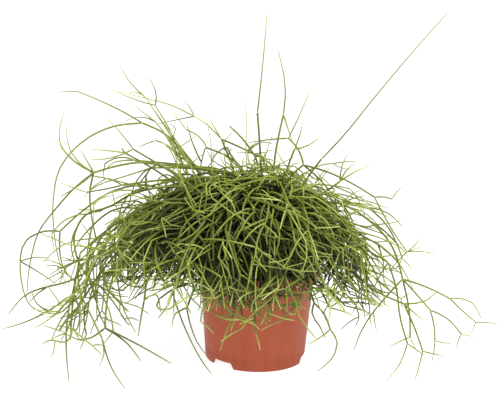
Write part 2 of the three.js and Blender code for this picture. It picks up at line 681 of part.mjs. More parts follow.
function potSolid() {
  const band = RIM_RADIUS - BAND_DRAFT;
  const shell = turned([
    [0, FOOT_HEIGHT],
    [BASE_RADIUS - FOOT_WALL, FOOT_HEIGHT],
    [BASE_RADIUS - FOOT_WALL, 0],
    [BASE_RADIUS, 0],
    [NECK_RADIUS, BAND_BOTTOM],
    [band, BAND_BOTTOM],
    [RIM_RADIUS, POT_HEIGHT - LIP],
    [RIM_RADIUS - LIP, POT_HEIGHT],
    [RIM_RADIUS - WALL, POT_HEIGHT],
    [band - WALL, BAND_BOTTOM + WALL],
    [innerRadius(BAND_BOTTOM), BAND_BOTTOM],
    [innerRadius(FLOOR_TOP), FLOOR_TOP],
    [0, FLOOR_TOP],
  ]);
  const cuts = NOTCH_TURNS.map(notch);
  for (const turn of NOTCH_TURNS) {
    const angle = THREE.MathUtils.degToRad(turn);
    const x = DRAIN_OUT * Math.cos(angle);
    const y = DRAIN_OUT * Math.sin(angle);
    cuts.push(post(x, y, FOOT_HEIGHT - 1, FLOOR_TOP + 1, DRAIN_RADIUS, DRAIN_SIDES));
  }
  return shell.subtract(wasm.Manifold.union(cuts));
}

function soilSolid() {
  const low = FLOOR_TOP + SEAT_GAP;
  const body = turned([
    [0, low],
    [innerRadius(low) - SEAT_GAP, low],
    [innerRadius(SOIL_EDGE) - SEAT_GAP, SOIL_EDGE],
    [RINGS.outer - 10, SOIL_CROWN - 1],
    [0, SOIL_CROWN],
  ]);
  const holes = CLUMPS.map(({ foot }) => post(foot.x, foot.y, SOIL_CROWN - HOLE_DEPTH,
    SOIL_CROWN + 5, FOOT_RADIUS + HOLE_GAP, FOOT_SIDES));
  return body.subtract(wasm.Manifold.union(holes));
}

// ---- The parts ------------------------------------------------------------------------------
const FINISHES = {
  pot: { color: 0xb5583f, roughness: 0.55 },
  soil: { color: 0x2b211a, roughness: 0.95 },
  stem: { color: 0x7f9a45, roughness: 0.5 },
};
const group = new THREE.Group();
group.name = 'mistletoe_cactus';
function addPart(name, finish, solid) {
  const material = new THREE.MeshStandardMaterial({ ...FINISHES[finish], metalness: 0 });
  material.name = finish;
  const mesh = new THREE.Mesh(geometryFrom(solid), material);
  mesh.name = name;
  group.add(mesh);
}

addPart('pot', 'pot', potSolid());
addPart('soil', 'soil', soilSolid());
for (const clump of CLUMPS) addPart(`spray_${clump.name}`, 'stem', clumpSolid(clump));

export default group;
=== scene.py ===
"""A mistletoe cactus in its plastic nursery pot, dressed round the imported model.

Metres in Blender, +Z up, front towards -Y. The plant's own sizes are in millimetres, as a grower
gives them, and are turned into metres where a mesh is made.
"""
import json
import math
from functools import partial
from types import SimpleNamespace

import bmesh
import bpy
import numpy as np
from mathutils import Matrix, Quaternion, Vector

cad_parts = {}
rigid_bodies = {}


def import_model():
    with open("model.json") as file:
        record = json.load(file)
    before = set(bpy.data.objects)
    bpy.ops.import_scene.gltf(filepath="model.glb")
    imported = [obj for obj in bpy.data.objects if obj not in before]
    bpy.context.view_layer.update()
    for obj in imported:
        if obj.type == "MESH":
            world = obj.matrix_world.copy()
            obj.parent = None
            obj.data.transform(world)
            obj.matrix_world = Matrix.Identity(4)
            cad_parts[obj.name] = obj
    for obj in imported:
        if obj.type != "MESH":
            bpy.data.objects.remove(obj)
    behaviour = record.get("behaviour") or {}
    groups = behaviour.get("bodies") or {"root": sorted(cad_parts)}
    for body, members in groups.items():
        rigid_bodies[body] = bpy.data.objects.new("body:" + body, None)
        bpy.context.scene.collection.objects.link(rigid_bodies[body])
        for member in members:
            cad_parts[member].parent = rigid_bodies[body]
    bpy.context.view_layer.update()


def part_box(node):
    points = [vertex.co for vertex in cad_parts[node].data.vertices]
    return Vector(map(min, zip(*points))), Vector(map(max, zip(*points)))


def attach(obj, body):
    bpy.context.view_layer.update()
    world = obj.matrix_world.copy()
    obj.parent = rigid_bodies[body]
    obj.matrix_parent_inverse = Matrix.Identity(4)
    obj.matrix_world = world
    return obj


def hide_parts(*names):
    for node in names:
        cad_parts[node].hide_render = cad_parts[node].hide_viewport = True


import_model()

# ---- Pot ------------------------------------------------------------------------------------
# A 12 cm nursery pot, injection moulded in terracotta-coloured polypropylene. A plain band
# stiffens its mouth, and a foot ring with three notches lifts its drain holes off the bench.
MM = 0.001
pot_low, pot_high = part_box("pot")
RIM_RADIUS = (pot_high.x - pot_low.x) / 2
POT_HEIGHT = pot_high.z
BAND_HEIGHT = 12 * MM
BAND_DRAFT = 0.4 * MM  # how far the band leans out over its height
NECK_RADIUS = 54.8 * MM
BASE_RADIUS = 48.2 * MM
WALL = 1.2 * MM
FOOT_HEIGHT = 6.5 * MM
FOOT_WALL = 2 * MM
LINE_HEIGHT = 11 * MM  # of the fine line that the parting of the mould leaves
LINE_WIDTH = 0.8 * MM
LINE_DEPTH = 0.11 * MM
POT_SIDES = 120
EDGE_ROUND = 0.45 * MM  # the radius that the mould leaves on every edge
SHARP_EDGE = math.radians(35)
SMOOTH_EDGE = math.radians(30)
NOTCH_TURNS = (-130, -10, 110)  # degrees from the right side
NOTCH_HALF = 12  # degrees each way at its top
NOTCH_SPLAY = 3  # degrees wider at the ground
NOTCH_HEIGHT = 5.8 * MM
NOTCH_CORNER = 1 * MM
DRAIN_RADIUS = 4.5 * MM
DRAIN_OUT = 36 * MM
DRAIN_SIDES = 32
BAND_BOTTOM = POT_HEIGHT - BAND_HEIGHT
FLOOR_TOP = FOOT_HEIGHT + WALL
LEVEL_FACE = 0.9  # a level face's normal rises or falls by more than this
NEAR = 0.05 * MM  # how near a level face has to be to the height at which it is looked for


def outer_radius(z):
    """The body's outer radius at a height, under the band."""
    return BASE_RADIUS + (NECK_RADIUS - BASE_RADIUS) * z / BAND_BOTTOM


def pick_level(piece, way, height=None):
    """In edit mode, selects the level faces that look up (1) or down (-1), all or at a height."""
    mesh = bmesh.from_edit_mesh(piece.data)
    for face in mesh.faces:
        there = height is None or abs(face.calc_center_median().z - height) < NEAR
        face.select_set(there and face.normal.z * way > LEVEL_FACE)
    mesh.select_flush_mode()
    bmesh.update_edit_mesh(piece.data)


def draw_out(radius, *steps):
    """Extrudes the picked round face by the rise of each step, to the radius of that step."""
    for rise, radius_next in steps:
        bpy.ops.mesh.extrude_region_move(TRANSFORM_OT_translate={"value": (0, 0, rise)})
        share = radius_next / radius
        bpy.ops.transform.resize(value=(share, share, 1))
        radius = radius_next


def apply_modifier(piece, kind, **settings):
    modifier = piece.modifiers.new(kind.lower(), kind)
    for name, value in settings.items():
        setattr(modifier, name, value)
    bpy.context.view_layer.objects.active = piece
    bpy.ops.object.modifier_apply(modifier=modifier.name)


def cut_out(piece, cutter):
    """Cuts one piece out of another and throws the cutter away."""
    apply_modifier(piece, "BOOLEAN", object=cutter, operation="DIFFERENCE", solver="EXACT")
    bpy.data.objects.remove(cutter)


line_radius = outer_radius(LINE_HEIGHT)
bpy.ops.mesh.primitive_cone_add(
    vertices=POT_SIDES, radius1=BASE_RADIUS, radius2=line_radius, depth=LINE_HEIGHT,
    location=(0, 0, LINE_HEIGHT / 2))
pot = bpy.context.object
pot.name = "pot_shell"
bpy.ops.object.transform_apply(location=True, rotation=True, scale=True)
bpy.ops.object.mode_set(mode="EDIT")
bpy.ops.mesh.select_mode(type="FACE")
pick_level(pot, 1)
draw_out(line_radius,
         (LINE_WIDTH / 2, line_radius - LINE_DEPTH),
         (LINE_WIDTH / 2, outer_radius(LINE_HEIGHT + LINE_WIDTH)),
         (BAND_BOTTOM - LINE_HEIGHT - LINE_WIDTH, NECK_RADIUS),
         (0, RIM_RADIUS - BAND_DRAFT),
         (BAND_HEIGHT, RIM_RADIUS),
         (0, RIM_RADIUS - WALL),
         (WALL - BAND_HEIGHT, RIM_RADIUS - BAND_DRAFT - WALL),
         (-WALL, NECK_RADIUS - WALL),
         (FLOOR_TOP - BAND_BOTTOM, outer_radius(FLOOR_TOP) - WALL))
pick_level(pot, -1, height=0)
draw_out(BASE_RADIUS, (0, BASE_RADIUS - FOOT_WALL), (FOOT_HEIGHT, BASE_RADIUS - FOOT_WALL))
bpy.ops.object.mode_set(mode="OBJECT")

top_width, ground_width = (2 * BASE_RADIUS * math.tan(math.radians(half))
                           for half in (NOTCH_HALF, NOTCH_HALF + NOTCH_SPLAY))
for turn in NOTCH_TURNS:
    angle = math.radians(turn)
    bpy.ops.mesh.primitive_cube_add(
        size=1, location=(0, 0, 0), scale=(BASE_RADIUS / 3, top_width, 2 * NOTCH_HEIGHT))
    notch = bpy.context.object
    bpy.ops.object.transform_apply(location=True, rotation=True, scale=True)
    bpy.ops.object.mode_set(mode="EDIT")
    pick_level(notch, -1)  # half of the cube is under the ground, so its end splays twice as far
    bpy.ops.transform.resize(value=(1, 2 * ground_width / top_width - 1, 1))
    bpy.ops.object.mode_set(mode="OBJECT")
    apply_modifier(notch, "BEVEL", width=NOTCH_CORNER, segments=4)
    notch.location = (BASE_RADIUS * math.cos(angle), BASE_RADIUS * math.sin(angle), 0)
    notch.rotation_euler = (0, 0, angle)
    cut_out(pot, notch)
    bpy.ops.mesh.primitive_cylinder_add(
        vertices=DRAIN_SIDES, radius=DRAIN_RADIUS, depth=4 * WALL,
        location=(DRAIN_OUT * math.cos(angle), DRAIN_OUT * math.sin(angle), FOOT_HEIGHT))
    cut_out(pot, bpy.context.object)
apply_modifier(pot, "BEVEL", width=EDGE_ROUND, segments=3, limit_method="ANGLE",
               angle_limit=SHARP_EDGE)
bpy.ops.object.select_all(action="DESELECT")
pot.select_set(True)
bpy.ops.object.shade_smooth_by_angle(angle=SMOOTH_EDGE)


def linear(colour):
    """A six-digit sRGB colour as the linear one that a shader takes."""
    shares = (int(colour[i:i + 2], 16) / 255 for i in (0, 2, 4))
    return (*(s / 12.92 if s <= 0.04045 else ((s + 0.055) / 1.055) ** 2.4 for s in shares), 1)


def add_node(nodes, kind, inputs=(), stops=(), **settings):
    """Adds a shader node. An input is a value, an output of another node, or the node itself for
    the first output that it has in use. Stops are the places and colours of a ramp."""
    made = nodes.new("ShaderNode" + kind)
    for name, value in settings.items():
        setattr(made, name, value)
    for name, value in dict(inputs).items():
        if isinstance(value, bpy.types.Node):
            value = next(output for output in value.outputs if output.enabled)
        if isinstance(value, bpy.types.NodeSocket):
            nodes.id_data.links.new(value, made.inputs[name])
        else:
            made.inputs[name].default_value = value
    for i, (place, colour) in enumerate(stops):
        ramp = made.color_ramp.elements
        stop = ramp[i] if i < 2 else ramp.new(place)
        stop.position = place
        stop.color = linear(colour) if isinstance(colour, str) else (colour,) * 3 + (1,)
    return made


def new_material(name):
    """An empty material, and the function that adds a node to it."""
    material = bpy.data.materials.new(name)
    material.use_nodes = True
    material.node_tree.nodes.clear()
    return material, partial(add_node, material.node_tree.nodes)


# Injection-moulded polypropylene: an even satin colour with faint upright flow marks, a dusty
# bloom of dried water and a very fine orange-peel surface.
polypropylene, add = new_material("moulded_polypropylene")
place = add("TexCoord").outputs["Object"]
flow = add("Mapping", {"Vector": place, "Scale": (1, 1, 0.09)})
streaks = add("TexNoise", {"Vector": flow, "Scale": 130, "Detail": 3})
clouds = add("TexNoise", {"Vector": place, "Scale": 34, "Detail": 4})
specks = add("TexNoise", {"Vector": place, "Scale": 900, "Detail": 2})
body = add("ValToRGB", {"Fac": streaks}, stops=((0.3, "a85036"), (0.7, "ae583e")))
bloom = add("ValToRGB", {"Fac": clouds}, stops=((0.48, 0.0), (0.8, 0.25)))
dusty = add("Mix", {0: bloom, 6: body, 7: linear("bb6a4c")}, data_type="RGBA")
grain = add("ValToRGB", {"Fac": specks}, stops=((0.3, 0.93), (0.7, 1.0)))
coloured = add("Mix", {0: 1.0, 6: dusty, 7: grain}, data_type="RGBA", blend_type="MULTIPLY")
rough = add("MapRange", {"Value": clouds, "To Min": 0.42, "To Max": 0.62})
peel = add("Bump", {"Height": specks, "Strength": 0.12, "Distance": 0.1 * MM})
ribs = add("Bump", {"Height": streaks, "Strength": 0.25, "Distance": 0.3 * MM, "Normal": peel})
shader = add("BsdfPrincipled", {"Base Color": coloured, "Roughness": rough, "Normal": ribs,
                                "IOR": 1.49, "Specular IOR Level": 0.15})
add("OutputMaterial", {"Surface": shader})
pot.data.materials.append(polypropylene)
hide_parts("pot")
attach(pot, "root")

# ---- Potting soil ---------------------------------------------------------------------------
# Peat and fine bark, filled to a finger's width under the rim and heaped a little round the
# plant. Its top is uneven, with crumbs of bark lying loose on it.
SEAT_GAP = 0.3 * MM
SOIL_EDGE = 81 * MM
SOIL_CROWN = 85 * MM
SOIL_SIDES = 72
SOIL_RINGS = 22
SOIL_ROUGHNESS = 0.7 * MM
SOIL_LUMPS = (26 * MM, 14 * MM, 7 * MM, 4 * MM, 2.5 * MM)  # their sizes, three waves of each
SOIL_FADE = 6  # the lumps fade out over a sixth of the way in from the wall
CRUMB_COUNT = 420
CRUMB_SIZE = (0.5 * MM, 1.7 * MM)
SOIL_SEED = 31

soil_bottom = FLOOR_TOP + SEAT_GAP
soil_radius = outer_radius(SOIL_EDGE) - WALL - SEAT_GAP
bpy.ops.mesh.primitive_cone_add(
    vertices=SOIL_SIDES, radius1=outer_radius(soil_bottom) - WALL - SEAT_GAP, radius2=soil_radius,
    depth=SOIL_EDGE - soil_bottom, location=(0, 0, (SOIL_EDGE + soil_bottom) / 2))
soil = bpy.context.object
soil.name = "potting_soil"
bpy.ops.object.transform_apply(location=True, rotation=True, scale=True)
bpy.ops.object.mode_set(mode="EDIT")
bpy.ops.mesh.select_mode(type="FACE")
pick_level(soil, 1)
draw_out(soil_radius, *((0, soil_radius * max(ring, 0.2) / SOIL_RINGS)
                        for ring in reversed(range(SOIL_RINGS))))
bpy.ops.mesh.merge(type="CENTER")
bpy.ops.object.mode_set(mode="OBJECT")

soil_chance = np.random.default_rng(SOIL_SEED)
soil_waves = [(*soil_chance.normal(0, 1, 2) * 0.6 / size, soil_chance.uniform(0, 6.3))
              for size in SOIL_LUMPS for _ in range(3)]


def soil_height(x, y):
    """The uneven top of the soil, which never rises over its crown by more than its lumps."""
    share = min(math.hypot(x, y) / soil_radius, 1)
    lumps = sum(math.sin(a * x + b * y + c) for a, b, c in soil_waves) / len(soil_waves)
    fade = min(1, SOIL_FADE * (1 - share))
    return SOIL_EDGE + (SOIL_CROWN - SOIL_EDGE) * (1 - share ** 2) + SOIL_ROUGHNESS * fade * lumps


for corner in soil.data.vertices:
    if corner.co.z > SOIL_EDGE - NEAR:
        corner.co.z = soil_height(corner.co.x, corner.co.y)

bpy.ops.mesh.primitive_ico_sphere_add(subdivisions=1, radius=1)
crumb = bpy.context.object
bpy.ops.object.mode_set(mode="EDIT")
bpy.ops.mesh.select_all(action="SELECT")
bpy.ops.transform.resize(value=(1, 0.7, 0.55))
bpy.ops.object.mode_set(mode="OBJECT")
crumb_shape = np.array([corner.co for corner in crumb.data.vertices])
crumb_faces = np.array([face.vertices for face in crumb.data.polygons])
bpy.data.objects.remove(crumb)


def mesh_piece(name, corners, faces):
    """A piece from lists of rows of corners in metres and of rows of faces, each row of faces with
    one number of corners."""
    mesh = bpy.data.meshes.new(name)
    corners = np.concatenate(corners)
    mesh.vertices.add(len(corners))
    mesh.vertices.foreach_set("co", np.asarray(corners, np.float32).ravel())
    loops = np.concatenate([rows.ravel() for rows in faces])
    mesh.loops.add(len(loops))
    mesh.loops.foreach_set("vertex_index", loops.astype(np.int32))
    sizes = np.concatenate([np.full(len(rows), rows.shape[1]) for rows in faces])
    mesh.polygons.add(len(sizes))
    mesh.polygons.foreach_set("loop_start", (np.cumsum(sizes) - sizes).astype(np.int32))
    mesh.update(calc_edges=True)
    piece = bpy.data.objects.new(name, mesh)
    bpy.context.scene.collection.objects.link(piece)
    return piece


crumb_corners = []
for _ in range(CRUMB_COUNT):
    out = (soil_radius - 2 * MM) * math.sqrt(soil_chance.uniform())
    turn = soil_chance.uniform(0, 2 * math.pi)
    x, y = out * math.cos(turn), out * math.sin(turn)
    size = soil_chance.uniform(*CRUMB_SIZE) * soil_chance.uniform(0.6, 1)
    spin, tip = soil_chance.uniform(0, 6.3), soil_chance.normal(0, 0.3)
    turned = np.array([[math.cos(spin), -math.sin(spin), 0], [math.sin(spin), math.cos(spin), 0],
                       [math.sin(tip), 0, math.cos(tip)]])
    rough = crumb_shape * soil_chance.uniform(0.75, 1.2, crumb_shape.shape)
    crumb_corners.append(rough @ turned.T * size + (x, y, soil_height(x, y) + 0.2 * size))
crumbs = mesh_piece("bark_crumbs", crumb_corners,
                    [crumb_faces + i * len(crumb_shape) for i in range(CRUMB_COUNT)])

# Damp peat with bark: nearly black, with brown fibres and no gloss at all.
peat, add = new_material("damp_peat")
place = add("TexCoord").outputs["Object"]
lumps = add("TexNoise", {"Vector": place, "Scale": 260, "Detail": 6})
fibres = add("TexVoronoi", {"Vector": place, "Scale": 700})
brown = add("ValToRGB", {"Fac": lumps}, stops=((0.25, "120d0a"), (0.55, "2c2018"), (0.8, "4b3626")))
bump = add("Bump", {"Height": fibres, "Strength": 0.8, "Distance": 0.6 * MM})
shader = add("BsdfPrincipled", {"Base Color": brown, "Roughness": 0.95, "Normal": bump})
add("OutputMaterial", {"Surface": shader})
for piece in (soil, crumbs):
    piece.data.materials.append(peat)
    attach(piece, "root")
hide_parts("soil")

# ---- Long and forked stems of each clump ----------------------------------------------------
# The clumps are rooted cuttings, each with a short woody foot in the soil. Round, leafless
# stems arch out of the foot and fork from their ends, and the twigs of the last forks end them.
SOIL_TOP = 85
FOOT_RISE = 7
TRUE_WIDTH = 1.21  # what the model's three-sided stems are larger by, to be as wide as round ones
CLEARANCE = 0.45
JOINT_FREE = 8  # two stems of one joint may be close over this length
FOOT_FREE = 32  # and two stems of one foot over this one
FLOOR_GAP = 1.5
LEVELS = (
    dict(radius=(1.3, 1.1), steps=7),
    dict(radius=(1.1, 0.95), steps=3, reach=(36, 58), sag=0.16, forks=(3, 3)),
    dict(radius=(0.95, 0.8), steps=2, reach=(24, 40), sag=0.1, forks=(2, 2)),
    dict(radius=(0.8, 0.6), steps=1, reach=(15, 30), sag=0, forks=(1, 2)),
)
LAST_LEVEL = len(LEVELS) - 1
RINGS = dict(inner=13, middle=28, outer=42)

# A clump's name, its ring and its turn from the right side, then its leading stems, given one
# by one. Each is a list of the points that it runs through, in millimetres, and then of the stems
# that fork from its end. The rest grow by rule from one row of random draws.
CLUMPS = (
    ("east_fork", "outer", 0,
     [(45, -15, 157), (75, -25, 162), (102, -32, 149), (123, -38, 129), (136, -44, 96),
       [(157, -38, 88), (183, -30, 74),
         [(204, -26, 70), (215, -24, 53)], [(212, -12, 45), [(240, 25, 31)], [(207, -14, 32)]]],
       [(150, -52, 83), (162, -58, 71),
         [(178, -56, 63), (193, -54, 47), [(207, -52, 42)], [(189, -58, 33)]],
         [(166, -64, 57), (167, -68, 44), [(183, -66, 41)], [(165, -72, 25)]]],
       [(144, -52, 62), (145, -56, 43), [(126, -60, 34)], [(153, -56, 28)]],
       [(110, -50, 65), [(99, -54, 46), (93, -58, 29)], [(114, -50, 45)]]]),
    ("east_shelf", "outer", 30,
     [(50, 38, 133), (75, 50, 143), (108, 60, 137),
       [(126, 64, 132), (144, 68, 116)],
       [(124, 56, 124), (144, 52, 88), [(155, 54, 75)], [(138, 46, 79)]]],
     [(52, 30, 125), (85, 40, 120), (118, 44, 104),
       [(139, 44, 86), (156, 42, 58)], [(125, 52, 84), (127, 54, 60)]]),
    ("east_whip", "middle", 40,
     [(30, 26, 139), (40, 26, 164), (58, 24, 193),
       [(75, 20, 214), (106, 10, 259), (134, 0, 299), (167, -10, 343)]],
     [(44, 34, 137), (64, 42, 156), (78, 46, 166),
       [(84, 50, 192)], [(91, 52, 174), (107, 58, 180)], [(91, 43, 185)]]),
    ("east_high", "middle", -5,
     [(22, -4, 150), (27, -6, 180), (40, -8, 194),
       [(35, -6, 208), (25, -2, 218),
         [(8, 4, 215), (-12, 10, 210)], [(32, -6, 235), (44, -10, 268)]],
       [(61, -14, 190), (86, -22, 181), (107, -28, 170),
         [(124, -21, 167), [(133, -18, 178)]],
         [(114, -32, 158), (126, -38, 139), (139, -42, 122),
           [(150, -48, 137)], [(153, -36, 126)], [(166, -46, 122)],
           [(131, -40, 111), (123, -38, 100)]]],
       [(55, 4, 179), (71, 10, 160),
         [(84, 14, 142), (90, 16, 122)], [(89, 18, 152), (108, 22, 146)]]]),
    ("crest_east", "inner", 40,
     [(12, 22, 156), (13, 28, 190), (20, 32, 234),
       [(21, 34, 255), (12, 38, 297)], [(25, 30, 220), (30, 27, 207)]],
     [(20, 30, 149), (26, 38, 180), (32, 40, 198),
       [(39, 42, 225)], [(44, 44, 201), (56, 48, 209)]]),
    ("crest_front", "inner", -60,
     [(2, -2, 166), (-2, 0, 212), (-5, 0, 241), [(-3, 2, 266), (-1, 5, 295), (1, 8, 335)]],
     [(-4, -10, 158), (-4, -14, 198), (-15, -14, 215), (-31, -16, 231)]),
    ("crest_west", "inner", 150,
     [(-16, 20, 146), (-28, 26, 183), (-39, 30, 208),
       [(-54, 32, 222), (-66, 33, 229),
         [(-77, 35, 244)], [(-89, 30, 240), (-110, 26, 246), (-138, 20, 253)],
         [(-83, 38, 224), (-104, 42, 218)]],
       [(-48, 40, 220), (-54, 46, 229)], [(-23, 24, 203), (1, 18, 193)]],
     [(-31, 8, 153), (-46, 4, 181), (-48, 0, 210), (-53, -4, 235)],
     [(-10, 12, 158), (-15, 16, 201), (-15, 20, 226), (-17, 22, 247)]),
    ("west_high", "middle", 160,
     [(-45, 12, 152), (-67, 18, 187), (-93, 22, 213), (-115, 26, 222),
       [(-132, 28, 231), (-165, 35, 244), (-179, 40, 248), [(-200, 42, 246)]],
       [(-146, 26, 217), (-175, 25, 200), (-194, 22, 176), (-200, 18, 145), (-198, 12, 110),
        (-185, 0, 63)]],
     [(-46, 6, 163), (-77, -5, 208), (-114, -16, 261)]),
    ("west_shelf", "middle", 200,
     [(-57, -10, 152), (-76, -16, 181), (-109, -24, 195), (-135, -30, 192), (-155, -34, 186),
       [(-169, -38, 197), (-177, -42, 211), (-179, -46, 232)],
       [(-174, -30, 196), (-187, -28, 211), (-184, -26, 240)], [(-167, -40, 210)],
       [(-173, -50, 201), (-188, -60, 223)],
       [(-171, -36, 173), (-191, -40, 150), (-204, -44, 132), (-212, -50, 103), (-215, -54, 69)],
       [(-159, -30, 169), (-158, -30, 147), (-153, -28, 120)],
       [(-168, -46, 176), (-184, -50, 166)]]),
    ("west_loop", "outer", 150,
     [(-63, 34, 130), (-108, 44, 156), (-146, 52, 147), (-175, 54, 126), (-198, 52, 104),
       [(-215, 48, 104), (-231, 44, 95), (-236, 40, 75),
         [(-234, 36, 54), (-224, 30, 32), (-207, 24, 27), (-192, 20, 30)],
         [(-221, 44, 65), (-202, 50, 50)], [(-205, 30, 82)]],
       [(-192, 58, 59), (-179, 60, 46)]],
     [(-68, 30, 121), (-107, 36, 132), (-139, 40, 133), (-165, 44, 113),
       [(-181, 48, 91), (-188, 50, 73)], [(-169, 40, 89), (-170, 36, 65), (-164, 30, 41)]]),
    ("west_low", "outer", 180,
     [(-71, 0, 119), (-113, -6, 103), (-151, -12, 77), (-174, -14, 62), (-199, -17, 44),
       [(-220, -19, 33), (-243, -20, 25)], [(-207, -22, 49), (-215, -28, 68)]],
     [(-71, 8, 130), (-115, 12, 118), (-156, 12, 83), (-183, 10, 66), (-204, 8, 60),
       [(-226, 5, 51), (-242, 2, 31)], [(-217, 16, 48), (-224, 20, 39)]]),
    ("west_bundle", "outer", 210,
     [(-60, -34, 163), (-101, -50, 160), (-137, -62, 141), (-163, -72, 119),
       [(-166, -80, 96), (-171, -88, 71), (-173, -94, 49),
         [(-172, -98, 29), (-169, -102, 4)], [(-187, -98, 43)]],
       [(-162, -84, 88), (-151, -95, 69), (-139, -106, 50),
         [(-128, -114, 22), (-116, -118, 6)], [(-137, -106, 34), (-141, -108, 23)]]],
     [(-65, -28, 150), (-102, -38, 142), (-134, -46, 116),
       [(-147, -50, 95), (-152, -52, 68)], [(-129, -60, 86), (-124, -66, 67), (-111, -72, 44)]]),
    ("west_hang", "middle", 240,
     [(-50, -50, 150), (-91, -64, 140), (-126, -76, 113), (-136, -82, 82), (-138, -88, 53),
       [(-107, -96, 41), (-76, -102, 26)], [(-119, -92, 42), (-104, -96, 25)],
       [(-161, -84, 39), (-180, -80, 47)]],
     [(-44, -48, 143), (-77, -58, 129), (-99, -64, 101), (-104, -66, 74),
       [(-109, -68, 39)], [(-93, -72, 82), (-88, -76, 66)]]),
    ("pot_west", "outer", 240,
     [(-49, -56, 121), (-68, -66, 103), (-78, -70, 84),
       [(-71, -74, 65), (-61, -76, 42), (-51, -78, 24), [(-39, -80, 8)]],
       [(-82, -66, 70), (-91, -64, 56)]],
     [(-42, -62, 116), (-56, -72, 92), (-64, -76, 71),
       [(-74, -78, 66), (-77, -79, 54)], [(-60, -72, 52), (-51, -70, 31), (-43, -70, 22)]]),
    ("pot_front", "outer", 270,
     [(-20, -68, 120), (-21, -78, 91), (-21, -80, 67),
       [(-27, -80, 50), (-32, -80, 32)], [(-7, -82, 64), (7, -84, 61)]],
     [(-4, -72, 116), (-2, -80, 82), (0, -80, 51), [(5, -81, 34)]],
     [(-11, -76, 109), (-7, -86, 86), [(2, -88, 72), (11, -88, 61)], [(-17, -88, 84)]]),
    ("pot_east", "outer", 300,
     [(34, -62, 121), (46, -72, 98), (53, -76, 80),
       [(61, -76, 72), (69, -76, 55),
         [(76, -76, 41), (72, -76, 27), (58, -78, 14)], [(61, -80, 49), (49, -84, 43)]],
       [(52, -72, 67), (60, -68, 54), (65, -66, 43)]],
     [(18, -66, 127), (27, -76, 91), [(42, -78, 74)], [(19, -80, 82)]]),
    ("east_hang", "outer", 330,
     [(38, -38, 146), (79, -52, 144), (120, -62, 117),
       [(129, -66, 92), (133, -70, 68), (141, -74, 43),
         [(135, -78, 25), (122, -82, 8)], [(157, -76, 33)]],
       [(110, -58, 94), (106, -56, 78)]],
     [(38, -44, 135), (80, -60, 115), (106, -70, 94), (135, -78, 83),
       [(147, -84, 59), (154, -88, 41), [(147, -96, 13)], [(174, -84, 36)]], [(155, -76, 66)],
       [(155, -74, 85), (167, -72, 95)]]),
    ("front_high", "middle", 285,
     [(14, -60, 142), (32, -100, 156), (48, -140, 146), (60, -168, 120),
       [(62, -184, 98)], [(76, -180, 106)]],
     [(-24, -58, 146), (-46, -98, 156), (-62, -138, 144), (-70, -166, 120),
       [(-76, -184, 100)], [(-58, -180, 108)]]),
    ("crest_back", "inner", 95),
    ("crest_left", "inner", 225),
    ("back_high_east", "middle", 80),
    ("back_high_west", "middle", 120),
    ("back_east", "outer", 60,
     [(34, 72, 136), (54, 110, 144), (72, 148, 126), (84, 170, 96),
       [(88, 184, 70)], [(104, 176, 72)]]),
    ("back", "outer", 90,
     [(0, 78, 142), (2, 116, 148), (-2, 150, 132), (-6, 172, 104),
       [(-10, 184, 76)], [(12, 182, 80)]]),
    ("back_west", "outer", 120,
     [(-34, 74, 140), (-54, 112, 150), (-70, 150, 132), (-80, 172, 100),
       [(-84, 184, 74)], [(-100, 176, 78)]]),
)

# The mop is the rounded mass that the stems laid by rule fill, wider than it is tall.
MOP_MIDDLE = np.array((-6.0, 0.0, 105.0))
MOP_WIDE = 136  # from its middle to its side
MOP_TALL = 82  # from its middle to its top
MOP_LOWEST = 57
MOP_SLACK = (0.86, 1.14)  # some tips stop short of its surface and some stand out
FRONT_RISE = 0.25  # its underside rises towards the front
ARCH_STEMS = 35
ARCH_REACH = (0.55, 0.78)  # of the way to the surface of the mop
ARCH_LOWEST = -0.3
ARCH_RISE = 34
ARCH_CLIMB = 0.6
ARCH_LEAN = 0.2
ARCH_SWING = 0.3
ARCH_TRIES = 30
GOLDEN_TURN = 2.399963
SHARE = 25  # a foot counts as this much further off for each stem that it carries
FORK_TRIES = 16
OUTWARD = 0.3  # how strongly a fork turns away from the middle of the mop
OUTWARD_DROP = 20
NARROW, WIDE = (0.3, 0.7), (0.55, 1.05)  # the angles at which stems fork, in radians
HAND_JOINTS, ARCH_JOINTS = (2, 3), (5,)  # the points of a leading stem that carry side stems
BENDS = (0, 2.5, -2.5, 5, -5, 7.5, -7.5, 10, -10)
CUBE = 14
UP = np.array((0.0, 0.0, 1.0))
RIM, TOP, BAND = RIM_RADIUS / MM, POT_HEIGHT / MM, BAND_BOTTOM / MM
MOUTH = (RIM_RADIUS - BAND_DRAFT - WALL) / MM
DRAW_START, DRAW_TIMES, DRAW_OVER = 20731, 16807, 2147483647
draw_state = DRAW_START


def draw(low=0.0, high=1.0):
    """The next of one row of random draws, the same at every run."""
    global draw_state
    draw_state = draw_state * DRAW_TIMES % DRAW_OVER
    return low + (high - low) * draw_state / DRAW_OVER


def unit(way):
    return way / math.sqrt(way @ way)


def gaps_between(a, b, c, d):
    """Shortest distances between straight pieces, a row of a to b each with its row of c to d."""
    first, second, apart = b - a, d - c, a - c
    aa = (first * first).sum(1)
    bb = (second * second).sum(1)
    ab = (first * second).sum(1)
    a_apart = (first * apart).sum(1)
    b_apart = (second * apart).sum(1)
    spread = aa * bb - ab * ab
    crossing = np.clip((ab * b_apart - a_apart * bb) / np.maximum(spread, 1e-9), 0, 1)
    s = np.where(spread > 1e-9, crossing, 0)
    t = (ab * s + b_apart) / bb
    s = np.where(t < 0, np.clip(-a_apart / aa, 0, 1), s)
    s = np.where(t > 1, np.clip((ab - a_apart) / aa, 0, 1), s)
    t = np.clip(t, 0, 1)
    apart = a + first * s[:, None] - c - second * t[:, None]
    return np.sqrt((apart * apart).sum(1))


cubes = {}


